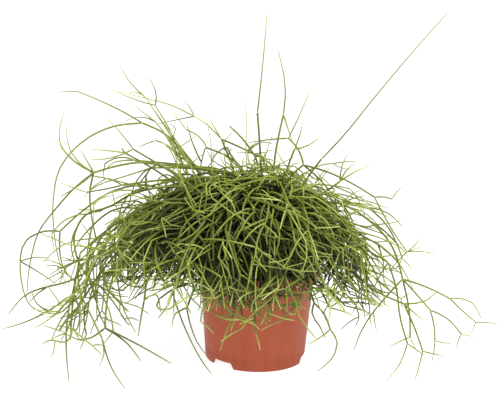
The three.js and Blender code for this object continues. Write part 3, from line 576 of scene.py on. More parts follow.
def cubes_of(a, b, margin):
    """The cubes of space that a straight piece passes near."""
    low = np.floor((np.minimum(a, b) - margin) / CUBE).astype(int)
    high = np.floor((np.maximum(a, b) + margin) / CUBE).astype(int)
    return [(i, j, k) for i in range(low[0], high[0] + 1) for j in range(low[1], high[1] + 1)
            for k in range(low[2], high[2] + 1)]


def near_pot(p, margin, mouth, soil):
    """Whether any point comes within a margin of the pot, unless it is in its mouth over the
    soil."""
    z, out = p[:, 2], np.hypot(p[:, 0], p[:, 1])
    wall = np.where(z > BAND, RIM, outer_radius(z * MM) / MM)
    in_mouth = (out < mouth) & (z > soil)
    return bool(((z <= TOP + margin) & ~in_mouth & (out < wall + margin)).any())


def meets_anything(path, radius, clump, kin, loose):
    """Whether a path comes too near to anything. Its kin may be close to its first stretch, and
    a loose path may meet all of its own clump."""
    free = FOOT_FREE if path[0][2] < SOIL_TOP + FOOT_RISE else JOINT_FREE
    margin = radius * TRUE_WIDTH + CLEARANCE
    run = 0.0
    for a, b in zip(path, path[1:]):
        size = math.sqrt((b - a) @ (b - a))
        before, run = run, run + size
        count = math.ceil(size / 3)
        places = a + (b - a) * (np.arange(count + 1) / count)[:, None]
        if (places[:, 2] < FLOOR_GAP + margin).any() or near_pot(
                places, margin, MOUTH - 1 - margin, SOIL_TOP + margin):
            return True
        near = {id(piece): piece for key in cubes_of(a, b, 2 * TRUE_WIDTH * radius + CLEARANCE + 1)
                for piece in cubes.get(key, ())}.values()
        starts, met = [], []
        for piece in near:
            if loose and piece.stem.clump is clump:
                continue
            start = a
            if id(piece.stem) in kin:
                if run <= free:
                    continue
                if before < free:
                    start = a + (b - a) * ((free - before) / size)
            starts.append(start)
            met.append(piece)
        if not met:
            continue
        gaps = gaps_between(np.array(starts), b, np.array([piece.a for piece in met]),
                            np.array([piece.b for piece in met]))
        room = np.array([(radius + piece.radius) * TRUE_WIDTH + CLEARANCE for piece in met])
        if (gaps < room).any():
            return True
    return False


def kin_of(*grown):
    return {id(each) for each in grown}


stems = []


def keep(path, level, clump, parent):
    """Adds a stem to those that stand, where later ones look for room."""
    grown = SimpleNamespace(path=path, level=level, clump=clump, parent=parent, forks=[])
    stems.append(grown)
    (parent.forks if parent else clump.leaders).append(grown)
    radius = LEVELS[level]["radius"][0]
    for a, b in zip(path, path[1:]):
        piece = SimpleNamespace(a=a, b=b, radius=radius, stem=grown)
        for key in cubes_of(a, b, 0):
            cubes.setdefault(key, []).append(piece)
    return grown


def lay_by_hand(laid, start, level, clump, parent, shift):
    """Lays a stem and its forks, bent clear of other clumps forwards or backwards."""
    points = [point for point in laid if isinstance(point, tuple)]
    kin = kin_of(parent, *parent.forks) if parent else kin_of(*clump.leaders)
    for bend in BENDS:
        path = [start] + [np.array((x, y + shift + bend, z), float) for x, y, z in points]
        if not meets_anything(path, LEVELS[level]["radius"][0], clump, kin, True):
            break
    else:
        return
    grown = keep(path, level, clump, parent)
    for fork in laid[len(points):]:
        lay_by_hand(fork, path[-1], min(level + 1, LAST_LEVEL), clump, grown, shift + bend)


clumps = []
for name, ring, turn, *laid_stems in CLUMPS:
    angle = math.radians(turn)
    foot = np.array((RINGS[ring] * math.cos(angle), RINGS[ring] * math.sin(angle), SOIL_TOP))
    clumps.append(SimpleNamespace(name=name, ring=ring, laid=laid_stems, foot=foot,
                                  top=foot + (FOOT_RISE - 2) * UP, leaders=[]))
for clump in clumps:
    for laid in clump.laid:
        lay_by_hand(laid, clump.top, 0, clump, None, 0)
hand_laid = len(stems)


def arch_to(foot, end):
    """An arching stem by rule: up out of its foot, over, and down to its end in the mop."""
    out = end * (1, 1, 0)
    over = foot + out * ARCH_LEAN
    over[2] = (foot[2] + ARCH_RISE + ARCH_CLIMB * max(end[2] - foot[2], 0)
               + ARCH_LEAN * math.sqrt(out @ out))
    steps = LEVELS[0]["steps"]
    return [foot * (1 - t) ** 2 + over * 2 * t * (1 - t) + end * t ** 2
            for t in (i / steps for i in range(steps + 1))]


def ring_for(up):
    """What ends high over the pot starts near its middle."""
    return "inner" if up > 0.75 else "middle" if up > 0.25 else "outer"


for i in range(ARCH_STEMS):
    up = 1 - (i + 0.5) / ARCH_STEMS * (1 - ARCH_LOWEST)
    side = math.sqrt(1 - up * up)
    for attempt in range(ARCH_TRIES):
        turn = i * GOLDEN_TURN + draw(-ARCH_SWING, ARCH_SWING)
        reach = draw(*ARCH_REACH)
        out = side * reach * MOP_WIDE
        end = MOP_MIDDLE + (out * math.cos(turn), out * math.sin(turn), up * reach * MOP_TALL)
        near = sorted((clump for clump in clumps if clump.ring == ring_for(up)), key=lambda clump: (
            math.dist(clump.foot, (end[0], end[1], SOIL_TOP)) + SHARE * len(clump.leaders)))
        clump = near[attempt % 2]
        path = arch_to(clump.top, end)
        if not meets_anything(path, LEVELS[0]["radius"][0], clump, kin_of(*clump.leaders), False):
            keep(path, 0, clump, None)
            break


def outside_mop(p, slack):
    out = math.hypot(p[0] - MOP_MIDDLE[0], p[1]) / (MOP_WIDE * slack)
    up = (p[2] - MOP_MIDDLE[2]) / (MOP_TALL * slack)
    lowest = MOP_LOWEST + FRONT_RISE * max(-p[1], 0)
    return out * out + up * up > 1 or p[2] < lowest * (2 - slack)


def turned_about(way, axis, angle):
    """A direction turned about an axis that it is square to or not."""
    return (way * math.cos(angle) + np.cross(axis, way) * math.sin(angle)
            + axis * (axis @ way) * (1 - math.cos(angle)))


def grow(parent, index, level, spread):
    """A fork: a bent way on from a joint, sagging a little at each step."""
    rule = LEVELS[level]
    joint = parent.path[index]
    along = unit(joint - parent.path[index - 1])
    outward = unit(joint + (OUTWARD_DROP - MOP_MIDDLE[2]) * UP)
    for _ in range(FORK_TRIES):
        angle = draw(*spread)
        spin = draw(0, 2 * math.pi)
        aside = np.cross((math.cos(spin), math.sin(spin), draw(-1, 1)), along)
        way = unit(turned_about(along, unit(aside), angle) + outward * OUTWARD)
        reach = draw(*rule["reach"]) / rule["steps"]
        slack = draw(*MOP_SLACK)
        path = [joint]
        for _ in range(rule["steps"]):
            path.append(path[-1] + way * reach)
            way = unit(way - rule["sag"] * UP)
        if not outside_mop(path[-1], slack) and not meets_anything(
                path, rule["radius"][0], parent.clump, kin_of(parent, *parent.forks), False):
            return keep(path, level, parent.clump, parent)
    return None


ready = [(each, number < hand_laid) for number, each in enumerate(stems) if each.level == 0]
for level in range(1, len(LEVELS)):
    grown = []
    for parent, by_hand in ready:
        last = len(parent.path) - 1
        low, high = LEVELS[level]["forks"]
        at_end = 0 if by_hand else math.floor(draw(low, high + 1))
        grown += [grow(parent, last, level, WIDE if i else NARROW) for i in range(at_end)]
        if level == 1:
            joints = HAND_JOINTS if by_hand else ARCH_JOINTS
            grown += [grow(parent, i, level, WIDE) for i in joints if i < last]
    ready = [(each, False) for each in grown if each]

# ---- Fill of the mop ------------------------------------------------------------------------
# A grown plant has several thousand stems. These are the ones that the model leaves out: arches
# that run over the mop and down its sides, companions of the long arms, and their forks, which
# cross each other at all angles. Each looks for room among the ones that are there already.
FILL_SEED = 13
FILL_ARCHES = 250
FILL_LEAN = (0.3, 2.0)  # radians from upright, where an arch ends
FILL_DEPTH = (0.45, 1.0)  # of the way out to the surface of the mop
FILL_LOWEST = 87  # at the pot's wall
WALL_OUT = 60  # how far that is from the pot's middle
FILL_ARCHED = 0.15  # the underside drops away from the pot
FILL_WEST_SLOPE, FILL_WEST_BACK = -0.34, 25  # on the left it is higher towards the front
FILL_EAST_RISE = 24  # on the right it starts high beside the pot
FILL_EAST_ARCHED = 0.2  # and drops away faster
FILL_EAST = 0.82  # how far the mop reaches to the right, of its round width
FILL_EAST_TALL = 0.9
FILL_ROUND = 1.65  # 2 would make the shoulders of the mop those of an ellipse
FILL_FLARE = 0.25  # how fast its sides spread on the way down
FILL_LEVELS = (
    None,
    dict(reach=(34, 66), points=5, droop=0.7, forks=(2, 3)),
    dict(reach=(24, 48), points=4, droop=0.3, forks=(2, 2)),
    dict(reach=(14, 32), points=3, droop=0.1, forks=(1, 2)),
)
FILL_WIDE = (0.6, 1.25)
FILL_SWIRL = 0.2
FILL_BOX = np.array(((-245, -188, 2), (243, 188, 345)))
CELL = 1.25
STEM_ROOM = 1.9  # how far from a stem's middle line its room reaches
FOOT_RUN = 30  # stems may touch others over this length from their feet
JOINT_RUN = 5  # and over this one from their joints
POT_MARGIN = 2.5  # how far an arch keeps from the pot
ROOM_LOW = np.array((-262.0, -202.0, 0.0))
ROOM_SHAPE = np.ceil(np.array((524, 404, 362)) / CELL).astype(int)
GOLDEN_SHARE = 0.618034


def smooth_line(points, pieces=6):
    """A smooth line through points, as a cubic in each span with the slope of the parabola
    through each three of them."""
    p = np.array(points, float)
    chord = np.sqrt((np.diff(p, axis=0) ** 2).sum(1))[:, None]
    slope = np.diff(p, axis=0) / chord
    tangents = np.vstack((slope, slope))
    if len(p) > 2:
        inner = (slope[:-1] * chord[1:] + slope[1:] * chord[:-1]) / (chord[:-1] + chord[1:])
        tangents = np.vstack((1.5 * slope[0] - 0.5 * inner[0], inner,
                              1.5 * slope[-1] - 0.5 * inner[-1]))
    t = (np.arange(pieces) / pieces)[None, :, None]
    a, b, m, n = (ends[:, None] for ends in (p[:-1], p[1:], tangents[:-1], tangents[1:]))
    line = (a * (2 * t ** 3 - 3 * t ** 2 + 1) + b * (3 * t ** 2 - 2 * t ** 3)
            + chord[:, None] * (m * (t ** 3 - 2 * t ** 2 + t) + n * (t ** 3 - t ** 2)))
    return np.vstack((line.reshape(-1, 3), p[-1:]))


def measured(line):
    """How far along a line each of its points is."""
    return np.concatenate([[0], np.cumsum(np.sqrt((np.diff(line, axis=0) ** 2).sum(1)))])


def along_line(line, places):
    """The point, or row of points, that lies so far along a line."""
    run = measured(line)
    return np.stack([np.interp(places, run, line[:, i]) for i in range(3)], -1)


def evenly(line, spacing, skip=0):
    """Points of a line a spacing apart, past its first stretch."""
    size = measured(line)[-1]
    places = np.linspace(0, size, max(2, round(size / spacing) + 1))
    return along_line(line, places)[int(skip / spacing):]


def cells_in(grid, cell, points):
    """The cells of a grid of space that points lie in."""
    cells = np.floor((points - ROOM_LOW) / cell).astype(int)
    return tuple(np.clip(cells, 0, np.array(grid.shape) - 1).T)


taken = np.zeros(ROOM_SHAPE, bool)
ball = np.array([way for way in np.ndindex(5, 5, 5)
                 if math.dist(way, (2, 2, 2)) * CELL < STEM_ROOM])
ball = (ball - 2) * CELL


def take_room(line):
    taken[cells_in(taken, CELL, (evenly(line, CELL)[:, None] + ball).reshape(-1, 3))] = True


def share_taken(line, skip):
    """The share of a line, past its first stretch, that runs too near to another stem."""
    points = evenly(line, CELL, skip)
    return taken[cells_in(taken, CELL, points)].mean() if len(points) else 0


def is_barred(line, margin, skip):
    """Whether a line meets the pot or the ground, past its first stretch."""
    p = evenly(line, 2.5, skip)
    return near_pot(p, margin, MOUTH - margin, SOIL_TOP) or (p[:, 2] < 3).any()


def leaves_box(line):
    return ((line < FILL_BOX[0]) | (line > FILL_BOX[1])).any()


def fill(path, level, clump, parent):
    """Adds a stem of the fill to those that stand."""
    grown = SimpleNamespace(path=path, level=level, clump=clump, parent=parent, forks=[],
                            line=smooth_line(path))
    take_room(grown.line)
    stems.append(grown)
    (parent.forks if parent else clump.leaders).append(grown)
    return grown


def freest(tries, enough, one_try):
    """The freest of some tries at a stem, or the first that is free enough. A try gives how
    crowded it is and what to make of it, or nothing."""
    best = None
    for _ in range(tries):
        made = one_try()
        if made and (best is None or made[0] < best[0]):
            best = made
        if made and made[0] < enough:
            break
    return best


chance = np.random.default_rng(FILL_SEED)
for each in stems:
    if len(each.path) == 2:
        a, b = each.path
        size = math.dist(a, b)
        aside = unit(np.cross(b - a, chance.normal(0, 1, 3)))
        middle = (a + b) / 2 + aside * size * chance.uniform(0.02, 0.08) + UP * size * 0.03
        each.path = [a, middle, b]
    each.line = smooth_line(each.path)
    take_room(each.line)


def width_at(turn):
    """How wide the mop is: narrower on the right."""
    return MOP_WIDE * (1 + (FILL_EAST - 1) * max(math.cos(turn), 0) ** 2)


def height_at(turn):
    """How tall the mop is: a little lower on the right."""
    return MOP_TALL * (1 + (FILL_EAST_TALL - 1) * max(math.cos(turn), 0))


def on_mop(turn, lean, depth):
    """A point of the mop, by its turn round the pot, its lean from upright and its depth."""
    drop = max(lean - math.pi / 2, 0)
    out = (depth * width_at(turn) * math.sin(min(lean, math.pi / 2)) ** (2 / FILL_ROUND)
           * (1 + FILL_FLARE * drop))
    up = depth * height_at(turn) * (-drop if drop else math.cos(lean) ** (2 / FILL_ROUND))
    return MOP_MIDDLE + (out * math.cos(turn), out * math.sin(turn), up)


def level_on_mop(p):
    """How far out a place is, of the way to the surface of the mop."""
    away = p - MOP_MIDDLE
    turn = math.atan2(away[1], away[0])
    up = away[2] / height_at(turn)
    out = math.hypot(away[0], away[1]) / (width_at(turn) * (1 + FILL_FLARE * max(-up, 0)))
    return (out ** FILL_ROUND + max(up, 0) ** FILL_ROUND) ** (1 / FILL_ROUND)


def lowest_at(p):
    """How low the underside of the mop is at a place."""
    out = math.hypot(p[0], p[1])
    west, east = (min(max(way * p[0] / WALL_OUT - 0.6, 0), 1) for way in (-1, 1))
    return (FILL_LOWEST + FILL_EAST_RISE * east
            - (FILL_ARCHED + FILL_EAST_ARCHED * east) * (out - WALL_OUT)
            + FILL_WEST_SLOPE * west * min(p[1], FILL_WEST_BACK))


FEET_REACH = 34  # where an arch that ends low looks for its foot, from the pot's middle
FOOT_LOAD = 2  # a foot counts as this much further off for each stem that it carries
FOOT_LOT = 12  # and as up to this much by lot
FOOT_SPREAD = 5.5  # how far from the middle of its foot an arch may start
FOOT_DEPTH = 1.5  # and how far under the soil
FIRST_RISE = (20, 32)
FIRST_LEAN = (0.15, 0.45)
ARCH_STEP = 0.42  # radians from point to point
FILL_TRIES = dict(arch=12, fork=9, companion=10)
ARCH_FREE = 0.05  # of its length, the share of an arch that may touch others without more tries


def fill_arch(turn, lean, depths, bend, swell=0.07):
    """An arch from the nearest foot that has room, over the mop to a lean from upright."""
    def one_try():
        depth = math.sqrt(chance.uniform(depths[0] ** 2, depths[1] ** 2))
        swing = turn + chance.normal(0, 0.25)
        way = np.array((math.cos(swing), math.sin(swing), 0))
        end_lean = lean * chance.uniform(0.85, 1.1)
        near = FEET_REACH * math.sin(lean) * way[:2]
        clump = min(clumps, key=lambda clump: (
            math.dist(clump.foot[:2], near) + FOOT_LOAD * len(clump.leaders)
            + chance.uniform(0, FOOT_LOT)))
        away = chance.uniform(0, FOOT_SPREAD)
        about = chance.uniform(0, 2 * math.pi)
        start = clump.foot + (away * math.cos(about), away * math.sin(about), -FOOT_DEPTH)
        first_lean = chance.uniform(*FIRST_LEAN)
        path = [start, start + 4 * way + chance.uniform(*FIRST_RISE) * UP]
        steps = max(2, round((end_lean - first_lean) / ARCH_STEP))
        for step in range(steps + 1):
            share = step / steps
            p = on_mop(swing + bend * share ** 1.5, first_lean + (end_lean - first_lean) * share,
                       depth * (1 - swell * (1 - share) + chance.normal(0, 0.03)))
            if p[2] < lowest_at(p) * chance.uniform(0.95, 1.15):
                break
            path.append(p)
        line = smooth_line(path)
        if len(path) > 3 and not is_barred(line, POT_MARGIN, 12):
            return share_taken(line, FOOT_RUN), path, clump

    best = freest(FILL_TRIES["arch"], ARCH_FREE, one_try)
    return fill(best[1], 0, best[2], None) if best else None


FORK_FREE = 0.04  # the share of a fork that may touch others without more tries
FORK_TIGHT = 0.2  # and the most that may touch others at all
FAR_LOWEST = 38


def fill_fork(parent, share, level, spread, far=False, lift=0.0, swirling=FILL_SWIRL):
    """A fork from a place along a stem, given as a share of its length. It stays within the mop,
    and rather runs along its surface than out of it, unless it belongs to a far arm."""
    rule = FILL_LEVELS[level]
    at = measured(parent.line)[-1] * share
    joint = along_line(parent.line, at)
    along = unit(joint - along_line(parent.line, at - 3))

    def one_try():
        angle = chance.uniform(*spread)
        aside = unit(np.cross(along, chance.normal(0, 1, 3)))
        way = unit(turned_about(along, aside, angle) + UP * lift)
        step = chance.uniform(*rule["reach"]) / (rule["points"] - 1)
        swirl = chance.normal(0, swirling, 3)
        path = [joint]
        for _ in range(rule["points"] - 1):
            path.append(path[-1] + way * step)
            way = unit(way + swirl - UP * rule["droop"] * step / 40)
        end = path[-1]
        if far and end[2] < FAR_LOWEST:
            return None
        if not far and (level_on_mop(end) > chance.uniform(0.8, 1.12) + 0.25 * lift
                        or end[2] < lowest_at(end) * chance.uniform(0.8, 1.1)):
            return None
        line = smooth_line(path)
        if is_barred(line, 1.5, 0) or leaves_box(line):
            return None
        outwards = max(unit(end - joint) @ unit(end - MOP_MIDDLE) - 0.3, 0)
        return share_taken(line, JOINT_RUN) + 0.25 * outwards * (not far), path

    best = freest(FILL_TRIES["fork"], FORK_FREE, one_try)
    return fill(best[1], level, parent.clump, parent) if best and best[0] < FORK_TIGHT else None


def branch(parent, share, level, spread, twigs=(), lift=0.0, **how):
    """A fork that forks again at its end, once for each spread of its twigs."""
    side = fill_fork(parent, share, level, spread, lift=lift, **how) if parent else None
    for twig in twigs if side else ():
        fill_fork(side, 1, level + 1, twig, **how)
    return side


BOTH = (NARROW, WIDE)

# The long arms come several together: companions run beside each and its forks, spread from it
# towards the tip, and mostly end sooner.
COMPANIONS = dict(west_low=(1, 0), west_bundle=(5, 3), west_hang=(1, 1), west_loop=(0, 1),
                  back_east=(1,), back=(1,), back_west=(1,))
COMPANION_SPREAD = 0.075  # of the length so far
COMPANION_ENDS = (0.6, 1.0)
COMPANION_STEP = 24
COMPANION_LOWEST = 36
COMPANION_ONWARD = 0.85  # how often it follows a fork of the arm


def companion(arm):
    def one_try():
        path, last = list(arm.path), arm
        while last.forks and chance.random() < COMPANION_ONWARD:
            last = last.forks[chance.integers(len(last.forks))]
            if np.allclose(last.path[0], path[-1]):
                path += list(last.path)[1:]
        whole = smooth_line(path)
        aim = chance.normal(0, 1, 3) * (1, 1, 0.7) * COMPANION_SPREAD
        path = [arm.path[0] + np.append(chance.uniform(-4, 4, 2), 0)]
        end = measured(whole)[-1] * chance.uniform(*COMPANION_ENDS)
        for place in np.arange(COMPANION_STEP, end, COMPANION_STEP):
            path.append(along_line(whole, place) + aim * place + chance.normal(0, 2, 3))
        if len(path) < 4:
            return None
        line = smooth_line(path)
        if not (is_barred(line, POT_MARGIN, 15) or leaves_box(line)
                or line[:, 2].min() < COMPANION_LOWEST):
            return share_taken(line, FOOT_RUN), path

    best = freest(FILL_TRIES["companion"], 0, one_try)
    return fill(best[1], 0, arm.clump, None) if best else None


model_stems = list(stems)
for clump in clumps:
    for arm, count in zip(clump.leaders[:], COMPANIONS.get(clump.name, ())):
        for made in (companion(arm) for _ in range(count)):
            if made:
                for share in (0.55, 0.7, 0.85):
                    branch(made, share + chance.uniform(-0.06, 0.06), 2, NARROW, (WIDE,), far=True)
                for spread in BOTH:
                    branch(made, 1, 2, spread, BOTH, far=True)


def places_on(shares, wanted):
    """The stems, each with a share of its length at which it is wanted."""
    places = ((each, share, each.line[int(share * (len(each.line) - 1))])
              for each in stems for share in shares)
    return [place for place in places if wanted(place[0], place[2])]


def some_of(places, count):
    return [places[i] for i in chance.permutation(len(places))[:count]]


def within(p, low, high):
    return (p > low).all() and (p < high).all()


# The tips of the arms at the left hang down in a tangle.
TANGLE = 20
TANGLED = ("west_bundle", "west_low", "west_hang")
TANGLE_LOW, TANGLE_HIGH = (-180, -110, 62), (-138, 10, 118)
hanging = places_on((0.3, 0.5, 0.7, 0.85), lambda each, p: (
    each.clump.name in TANGLED and within(p, TANGLE_LOW, TANGLE_HIGH)))
for parent, share, _ in some_of(hanging, TANGLE):
    branch(parent, share, 2, WIDE, BOTH, lift=-0.8, far=True)

CROSSING = 4  # of twenty arches, how many swing round the mop
OPEN_LEAN, OPEN_SIDE, OPEN_SHARE = 0.9, -0.64, 2  # two of five are left out low on the left side
ready = []
for number in range(FILL_ARCHES):
    turn = number * GOLDEN_TURN
    lean = FILL_LEAN[0] + (FILL_LEAN[1] - FILL_LEAN[0]) * (number * GOLDEN_SHARE % 1)
    bend = chance.normal(0, 0.35)
    if number % 20 < CROSSING:
        bend = chance.uniform(0.6, 1.3) * (-1 if number % 2 else 1)
    if lean <= OPEN_LEAN or math.cos(turn) >= OPEN_SIDE or number % 5 >= OPEN_SHARE:
        ready.append(fill_arch(turn, lean, FILL_DEPTH, bend))
ready = [each for each in ready if each]
for level in (1, 2, 3):
    low, high = FILL_LEVELS[level]["forks"]
    grown = []
    for parent in ready:
        for i in range(chance.integers(low, high + 1)):
            grown.append(fill_fork(parent, 1, level, FILL_WIDE if i else NARROW))
        if level == 1:
            for share in chance.uniform(0.4, 0.92, 2):
                grown.append(fill_fork(parent, share, level, FILL_WIDE))
    ready = [each for each in grown if each]
for each in model_stems:
    if each.level in (1, 2) and not outside_mop(each.path[-1], 1.2):
        for _ in range(2):
            branch(each, 1, each.level + 1, WIDE, BOTH if each.level == 1 else ())

# Some loose arches rise from the left of the crown and pass high over the left shoulder.
LOOSE_ARCHES = 12
LOOSE_TURN = (140, 235)
LOOSE_LEAN = (0.5, 0.95)
LOOSE_DEPTH = (0.98, 1.35)
LOOSE_SWELL = 0.3
for _ in range(LOOSE_ARCHES):
    turn = math.radians(chance.uniform(*LOOSE_TURN))
    lean = chance.uniform(*LOOSE_LEAN)
    arch = fill_arch(turn, lean, LOOSE_DEPTH, chance.normal(0, 0.5), LOOSE_SWELL)
    for spread in BOTH:
        branch(arch, 1, 2, spread, (spread,), far=True)

# Straight young shoots stand up out of the left shoulder and lean out.
SHOOTS = 11
SHOOT_REACH = (40, 85)
SHOOT_SHARES = (0.35, 0.5, 0.65, 0.8, 1)
SHOULDER = (-95, -50)  # from its left to its right
SHOULDER_HEIGHT = 150
CROWN_HEIGHT = MOP_MIDDLE[2] + 0.62 * MOP_TALL
PARTING = (-65, -25)  # where the crown is parted
crown = places_on(SHOOT_SHARES, lambda each, p: (
    each.level < 2 and level_on_mop(p) > 0.75 and p[2] > CROWN_HEIGHT
    and not PARTING[0] < p[0] < PARTING[1]))
shoulder = places_on(SHOOT_SHARES, lambda each, p: (
    each.level < 3 and 0.85 < level_on_mop(p) < 1.3 and SHOULDER[0] < p[0] < SHOULDER[1]
    and p[2] > SHOULDER_HEIGHT))
for parent, _, foot in some_of(shoulder, SHOOTS):
    way = unit(np.array((-chance.uniform(-0.1, 0.8), chance.normal(0, 0.35),
                         chance.uniform(0.5, 1))))
    reach = chance.uniform(*SHOOT_REACH)
    bent = foot + way * reach * 0.5 + chance.normal(0, 1.5, 3)
    shoot = fill([foot, bent, foot + way * reach - UP * 0.04 * reach], 1, parent.clump, parent)
    if chance.random() < 0.4:
        for spread in BOTH:
            fill_fork(shoot, 1, 2, spread, far=True)

# Other young shoots stand up out of the crown and curl over.
CURLS = 150
CURL_SWIRL = 0.42
for parent, share, _ in some_of(crown, CURLS):
    curl = fill_fork(parent, share, 2, WIDE, lift=chance.uniform(0.4, 1.2), swirling=CURL_SWIRL)
    if curl and chance.random() < 0.7:
        fill_fork(curl, 1, 3, WIDE, lift=0.5, swirling=CURL_SWIRL)

# Tufts of short twigs hang from the underside at the right, spread from the outermost arms at the
# left, and curl up over the middle of the crown.
TUFTS = (
    ((78, -110, 76), (132, 0, 118), 2, 7, -0.8, FILL_SWIRL),
    ((-206, -110, 84), (-174, 10, 116), 3, 24, 0.0, FILL_SWIRL),
    ((-34, -45, 186), (4, 25, 204), 3, 14, 0.3, CURL_SWIRL),
)
NO_WHIP = 212  # none grow from the bare whips that rise above this
for low, high, level, count, lift, swirling in TUFTS:
    places = places_on((0.4, 0.6, 0.8, 1), lambda each, p: (
        each.level < 3 and each.line[-1][2] < NO_WHIP and within(p, low, high)))
    for parent, share, _ in some_of(places, count):
        branch(parent, share, level, WIDE, BOTH if level < 3 else (), lift=lift, far=True,
               swirling=swirling)

# In front of the pot the hem of the mop is thin, and it ends higher towards the pot's sides.
HEM = 62
HEM_CLIMB = 0.29  # for each mm further out than its foremost stems stand
HEM_OUT = 57
HEM_FRONT = -40
HEM_WIDE = (-60, 68)  # from its left to its right
HEM_SIDES = (16, 22)  # how much higher it ends at the left and at the right
HEM_MIDDLE, HEM_TURN = 24, 26  # how far from the middle that rise begins, and over what width
HEM_STAYS = 0.4  # the share of the stems below it that stay
BESIDE_LOW, BESIDE_HIGH = (56, -90, 60), (92, 30, 106)
BESIDE_STAYS = 0.62  # the share that stays under the mop beside the pot, on the right


def below_hem(stem):
    x, y, z = stem.line[(stem.line[:, 1] < HEM_FRONT) & (stem.line[:, 0] > HEM_WIDE[0])
                        & (stem.line[:, 0] < HEM_WIDE[1])].T
    beside = np.clip((np.abs(x) - HEM_MIDDLE) / HEM_TURN, 0, 1) * np.where(x < 0, *HEM_SIDES)
    return (z < HEM + HEM_CLIMB * (-y - HEM_OUT) + beside).any()


in_model = {id(each) for each in model_stems}
cut = set()
for i, each in reversed(list(enumerate(stems))):
    lot = i * GOLDEN_SHARE % 1
    if (each.level > 1 and id(each) not in in_model and all(id(fork) in cut for fork in each.forks)
            and (lot > HEM_STAYS and below_hem(each)
                 or lot > BESIDE_STAYS and within(each.line[-1], BESIDE_LOW, BESIDE_HIGH))):
        cut.add(id(each))
stems = [each for each in stems if id(each) not in cut]
for each in stems:
    each.forks = [fork for fork in each.forks if id(fork) not in cut]

# ---- Stems, as pieces -----------------------------------------------------------------------
# Each stem is a round, jointed green shoot about 2 mm thick. It leaves its joint by a narrow
# neck, and ends in a blunt tip or in the swollen joint that its own forks grow from.
SIDES = 7
RADII = ((1.2, 0.96), (0.98, 0.82), (0.82, 0.68), (0.68, 0.52))  # at each level's start and end
TIP_RADIUS = 0.54
SHOOTS_ABOVE = 215  # new shoots stand up out of the crown, thinner and paler than the rest
SHOOTS_BELOW = 30  # and some hang beside the pot, on its left
SHOOT_WIDTH = (0.8, 0.72)  # of an older stem's, at the start and at the end
SHOOT_YOUTH = (0.45, 0.95)
SPACING = (5.2, 4.8, 4.4, 4)  # of a stem's rings
DRY_TIPS = 0.02  # the share of the free tips that have dried
DRY_RUN = (2, 9)  # and the length of each that has
NECK, NECK_RUN = 0.62, 3.2  # how narrow a stem leaves its joint, and over what length
SWELL, SWELL_RUN = 1.13, 2.6  # how wide a joint swells
SLIM, SLIM_RUN = 0.22, 6  # how much slimmer a stem gets towards a free tip
JOINT_CAP, TIP_CAP = 1.0, 1.4  # how long the rounded end of a stem is, in radii
JOINT_BULGE, TIP_BULGE = 0.3, 0.5  # and how far its middle stands out
JOINT_END, TIP_END = (0.92, 0.55), (0.78, 0.36)  # how its last two rings draw in
YOUTH = ((0.1, 0.5), (0.42, 0.6), (0.55, 0.7), (0.65, 0.8))  # at each level's start and end
TIP_YOUTH, TIP_AGES = 0.82, 125  # a stem is as young as it is near its furthest tip, in mm
TIP_PALER, TIP_RUN = 0.6, 7  # how much paler a free tip is, and the length behind it
WOODY_RUN = 26  # the length above the soil that has turned woody
WOODY_WIDER = 0.3
# Painted shade: stems that others crowd over, and those low under the mop near the pot, are
# darkened in their colour by the amounts below.
CROWD_CELL = 5.0
CROWD_REACH = 12.0  # how far out the stems that shade a place are
CROWD_FULL = (0.22, 0.8)  # the crowding at which shade begins and is full
LOW_SHADE = 0.5  # more shade under the mop's widest part, near the pot
LOW_SHADE_RISE = (175, 100)  # the heights at which that begins and is full
LOW_SHADE_OUT = (140, 100)  # and the distances from the pot's middle


def straight_stem(sides, rings):
    """A stem modelled straight, upright and one unit thick, a unit from ring to ring."""
    bpy.ops.mesh.primitive_cylinder_add(vertices=sides, radius=1, depth=rings - 1,
                                        end_fill_type="TRIFAN", location=(0, 0, (rings - 1) / 2))
    bar = bpy.context.object
    bpy.ops.object.transform_apply(location=True, rotation=True, scale=True)
    bpy.ops.object.mode_set(mode="EDIT")
    bpy.ops.mesh.select_mode(type="EDGE")
    mesh = bmesh.from_edit_mesh(bar.data)
    for edge in mesh.edges:
        edge.select_set(abs(edge.verts[0].co.z - edge.verts[1].co.z) > 0.5)
    bmesh.update_edit_mesh(bar.data)
    bpy.ops.mesh.subdivide_edgering(number_cuts=rings - 2, smoothness=0)
    bpy.ops.object.mode_set(mode="OBJECT")
    corners = np.array([corner.co for corner in bar.data.vertices])
    quads, fans = (np.array([face.vertices for face in bar.data.polygons
                             if len(face.vertices) == size]) for size in (4, 3))
    bpy.data.objects.remove(bar)
    centre = np.hypot(corners[:, 0], corners[:, 1]) < 0.5
    turn = np.arctan2(corners[:, 1], corners[:, 0]) / (2 * math.pi) % 1

    def round_of(face):
        """How far round the stem each corner of a face is, the middle of an end as the rest."""
        around = turn[face]
        solid = ~centre[face]
        if np.ptp(around[solid]) > 0.5:
            around[around < 0.5] += 1
        around[~solid] = around[solid].mean()
        return around

    return SimpleNamespace(
        corners=corners, ring=np.rint(corners[:, 2]).astype(int), centre=centre,
        rows=[(faces, np.array([round_of(face) for face in faces])) for faces in (quads, fans)])


crowd = np.zeros(np.ceil(ROOM_SHAPE * CELL / CROWD_CELL).astype(int))
for each in stems:
    np.add.at(crowd, cells_in(crowd, CROWD_CELL, evenly(each.line, CROWD_CELL / 2)), 1)
for axis in range(3):
    crowd = sum(np.roll(crowd, shift, axis) for shift in (-2, -1, 0, 1, 2)) / 5
crowd /= np.percentile(crowd[crowd > 0.1], 90)


def share_between(values, low, high):
    """0 at the one value, 1 at the other, and even between them."""
    return np.clip((values - low) / (high - low), 0, 1)


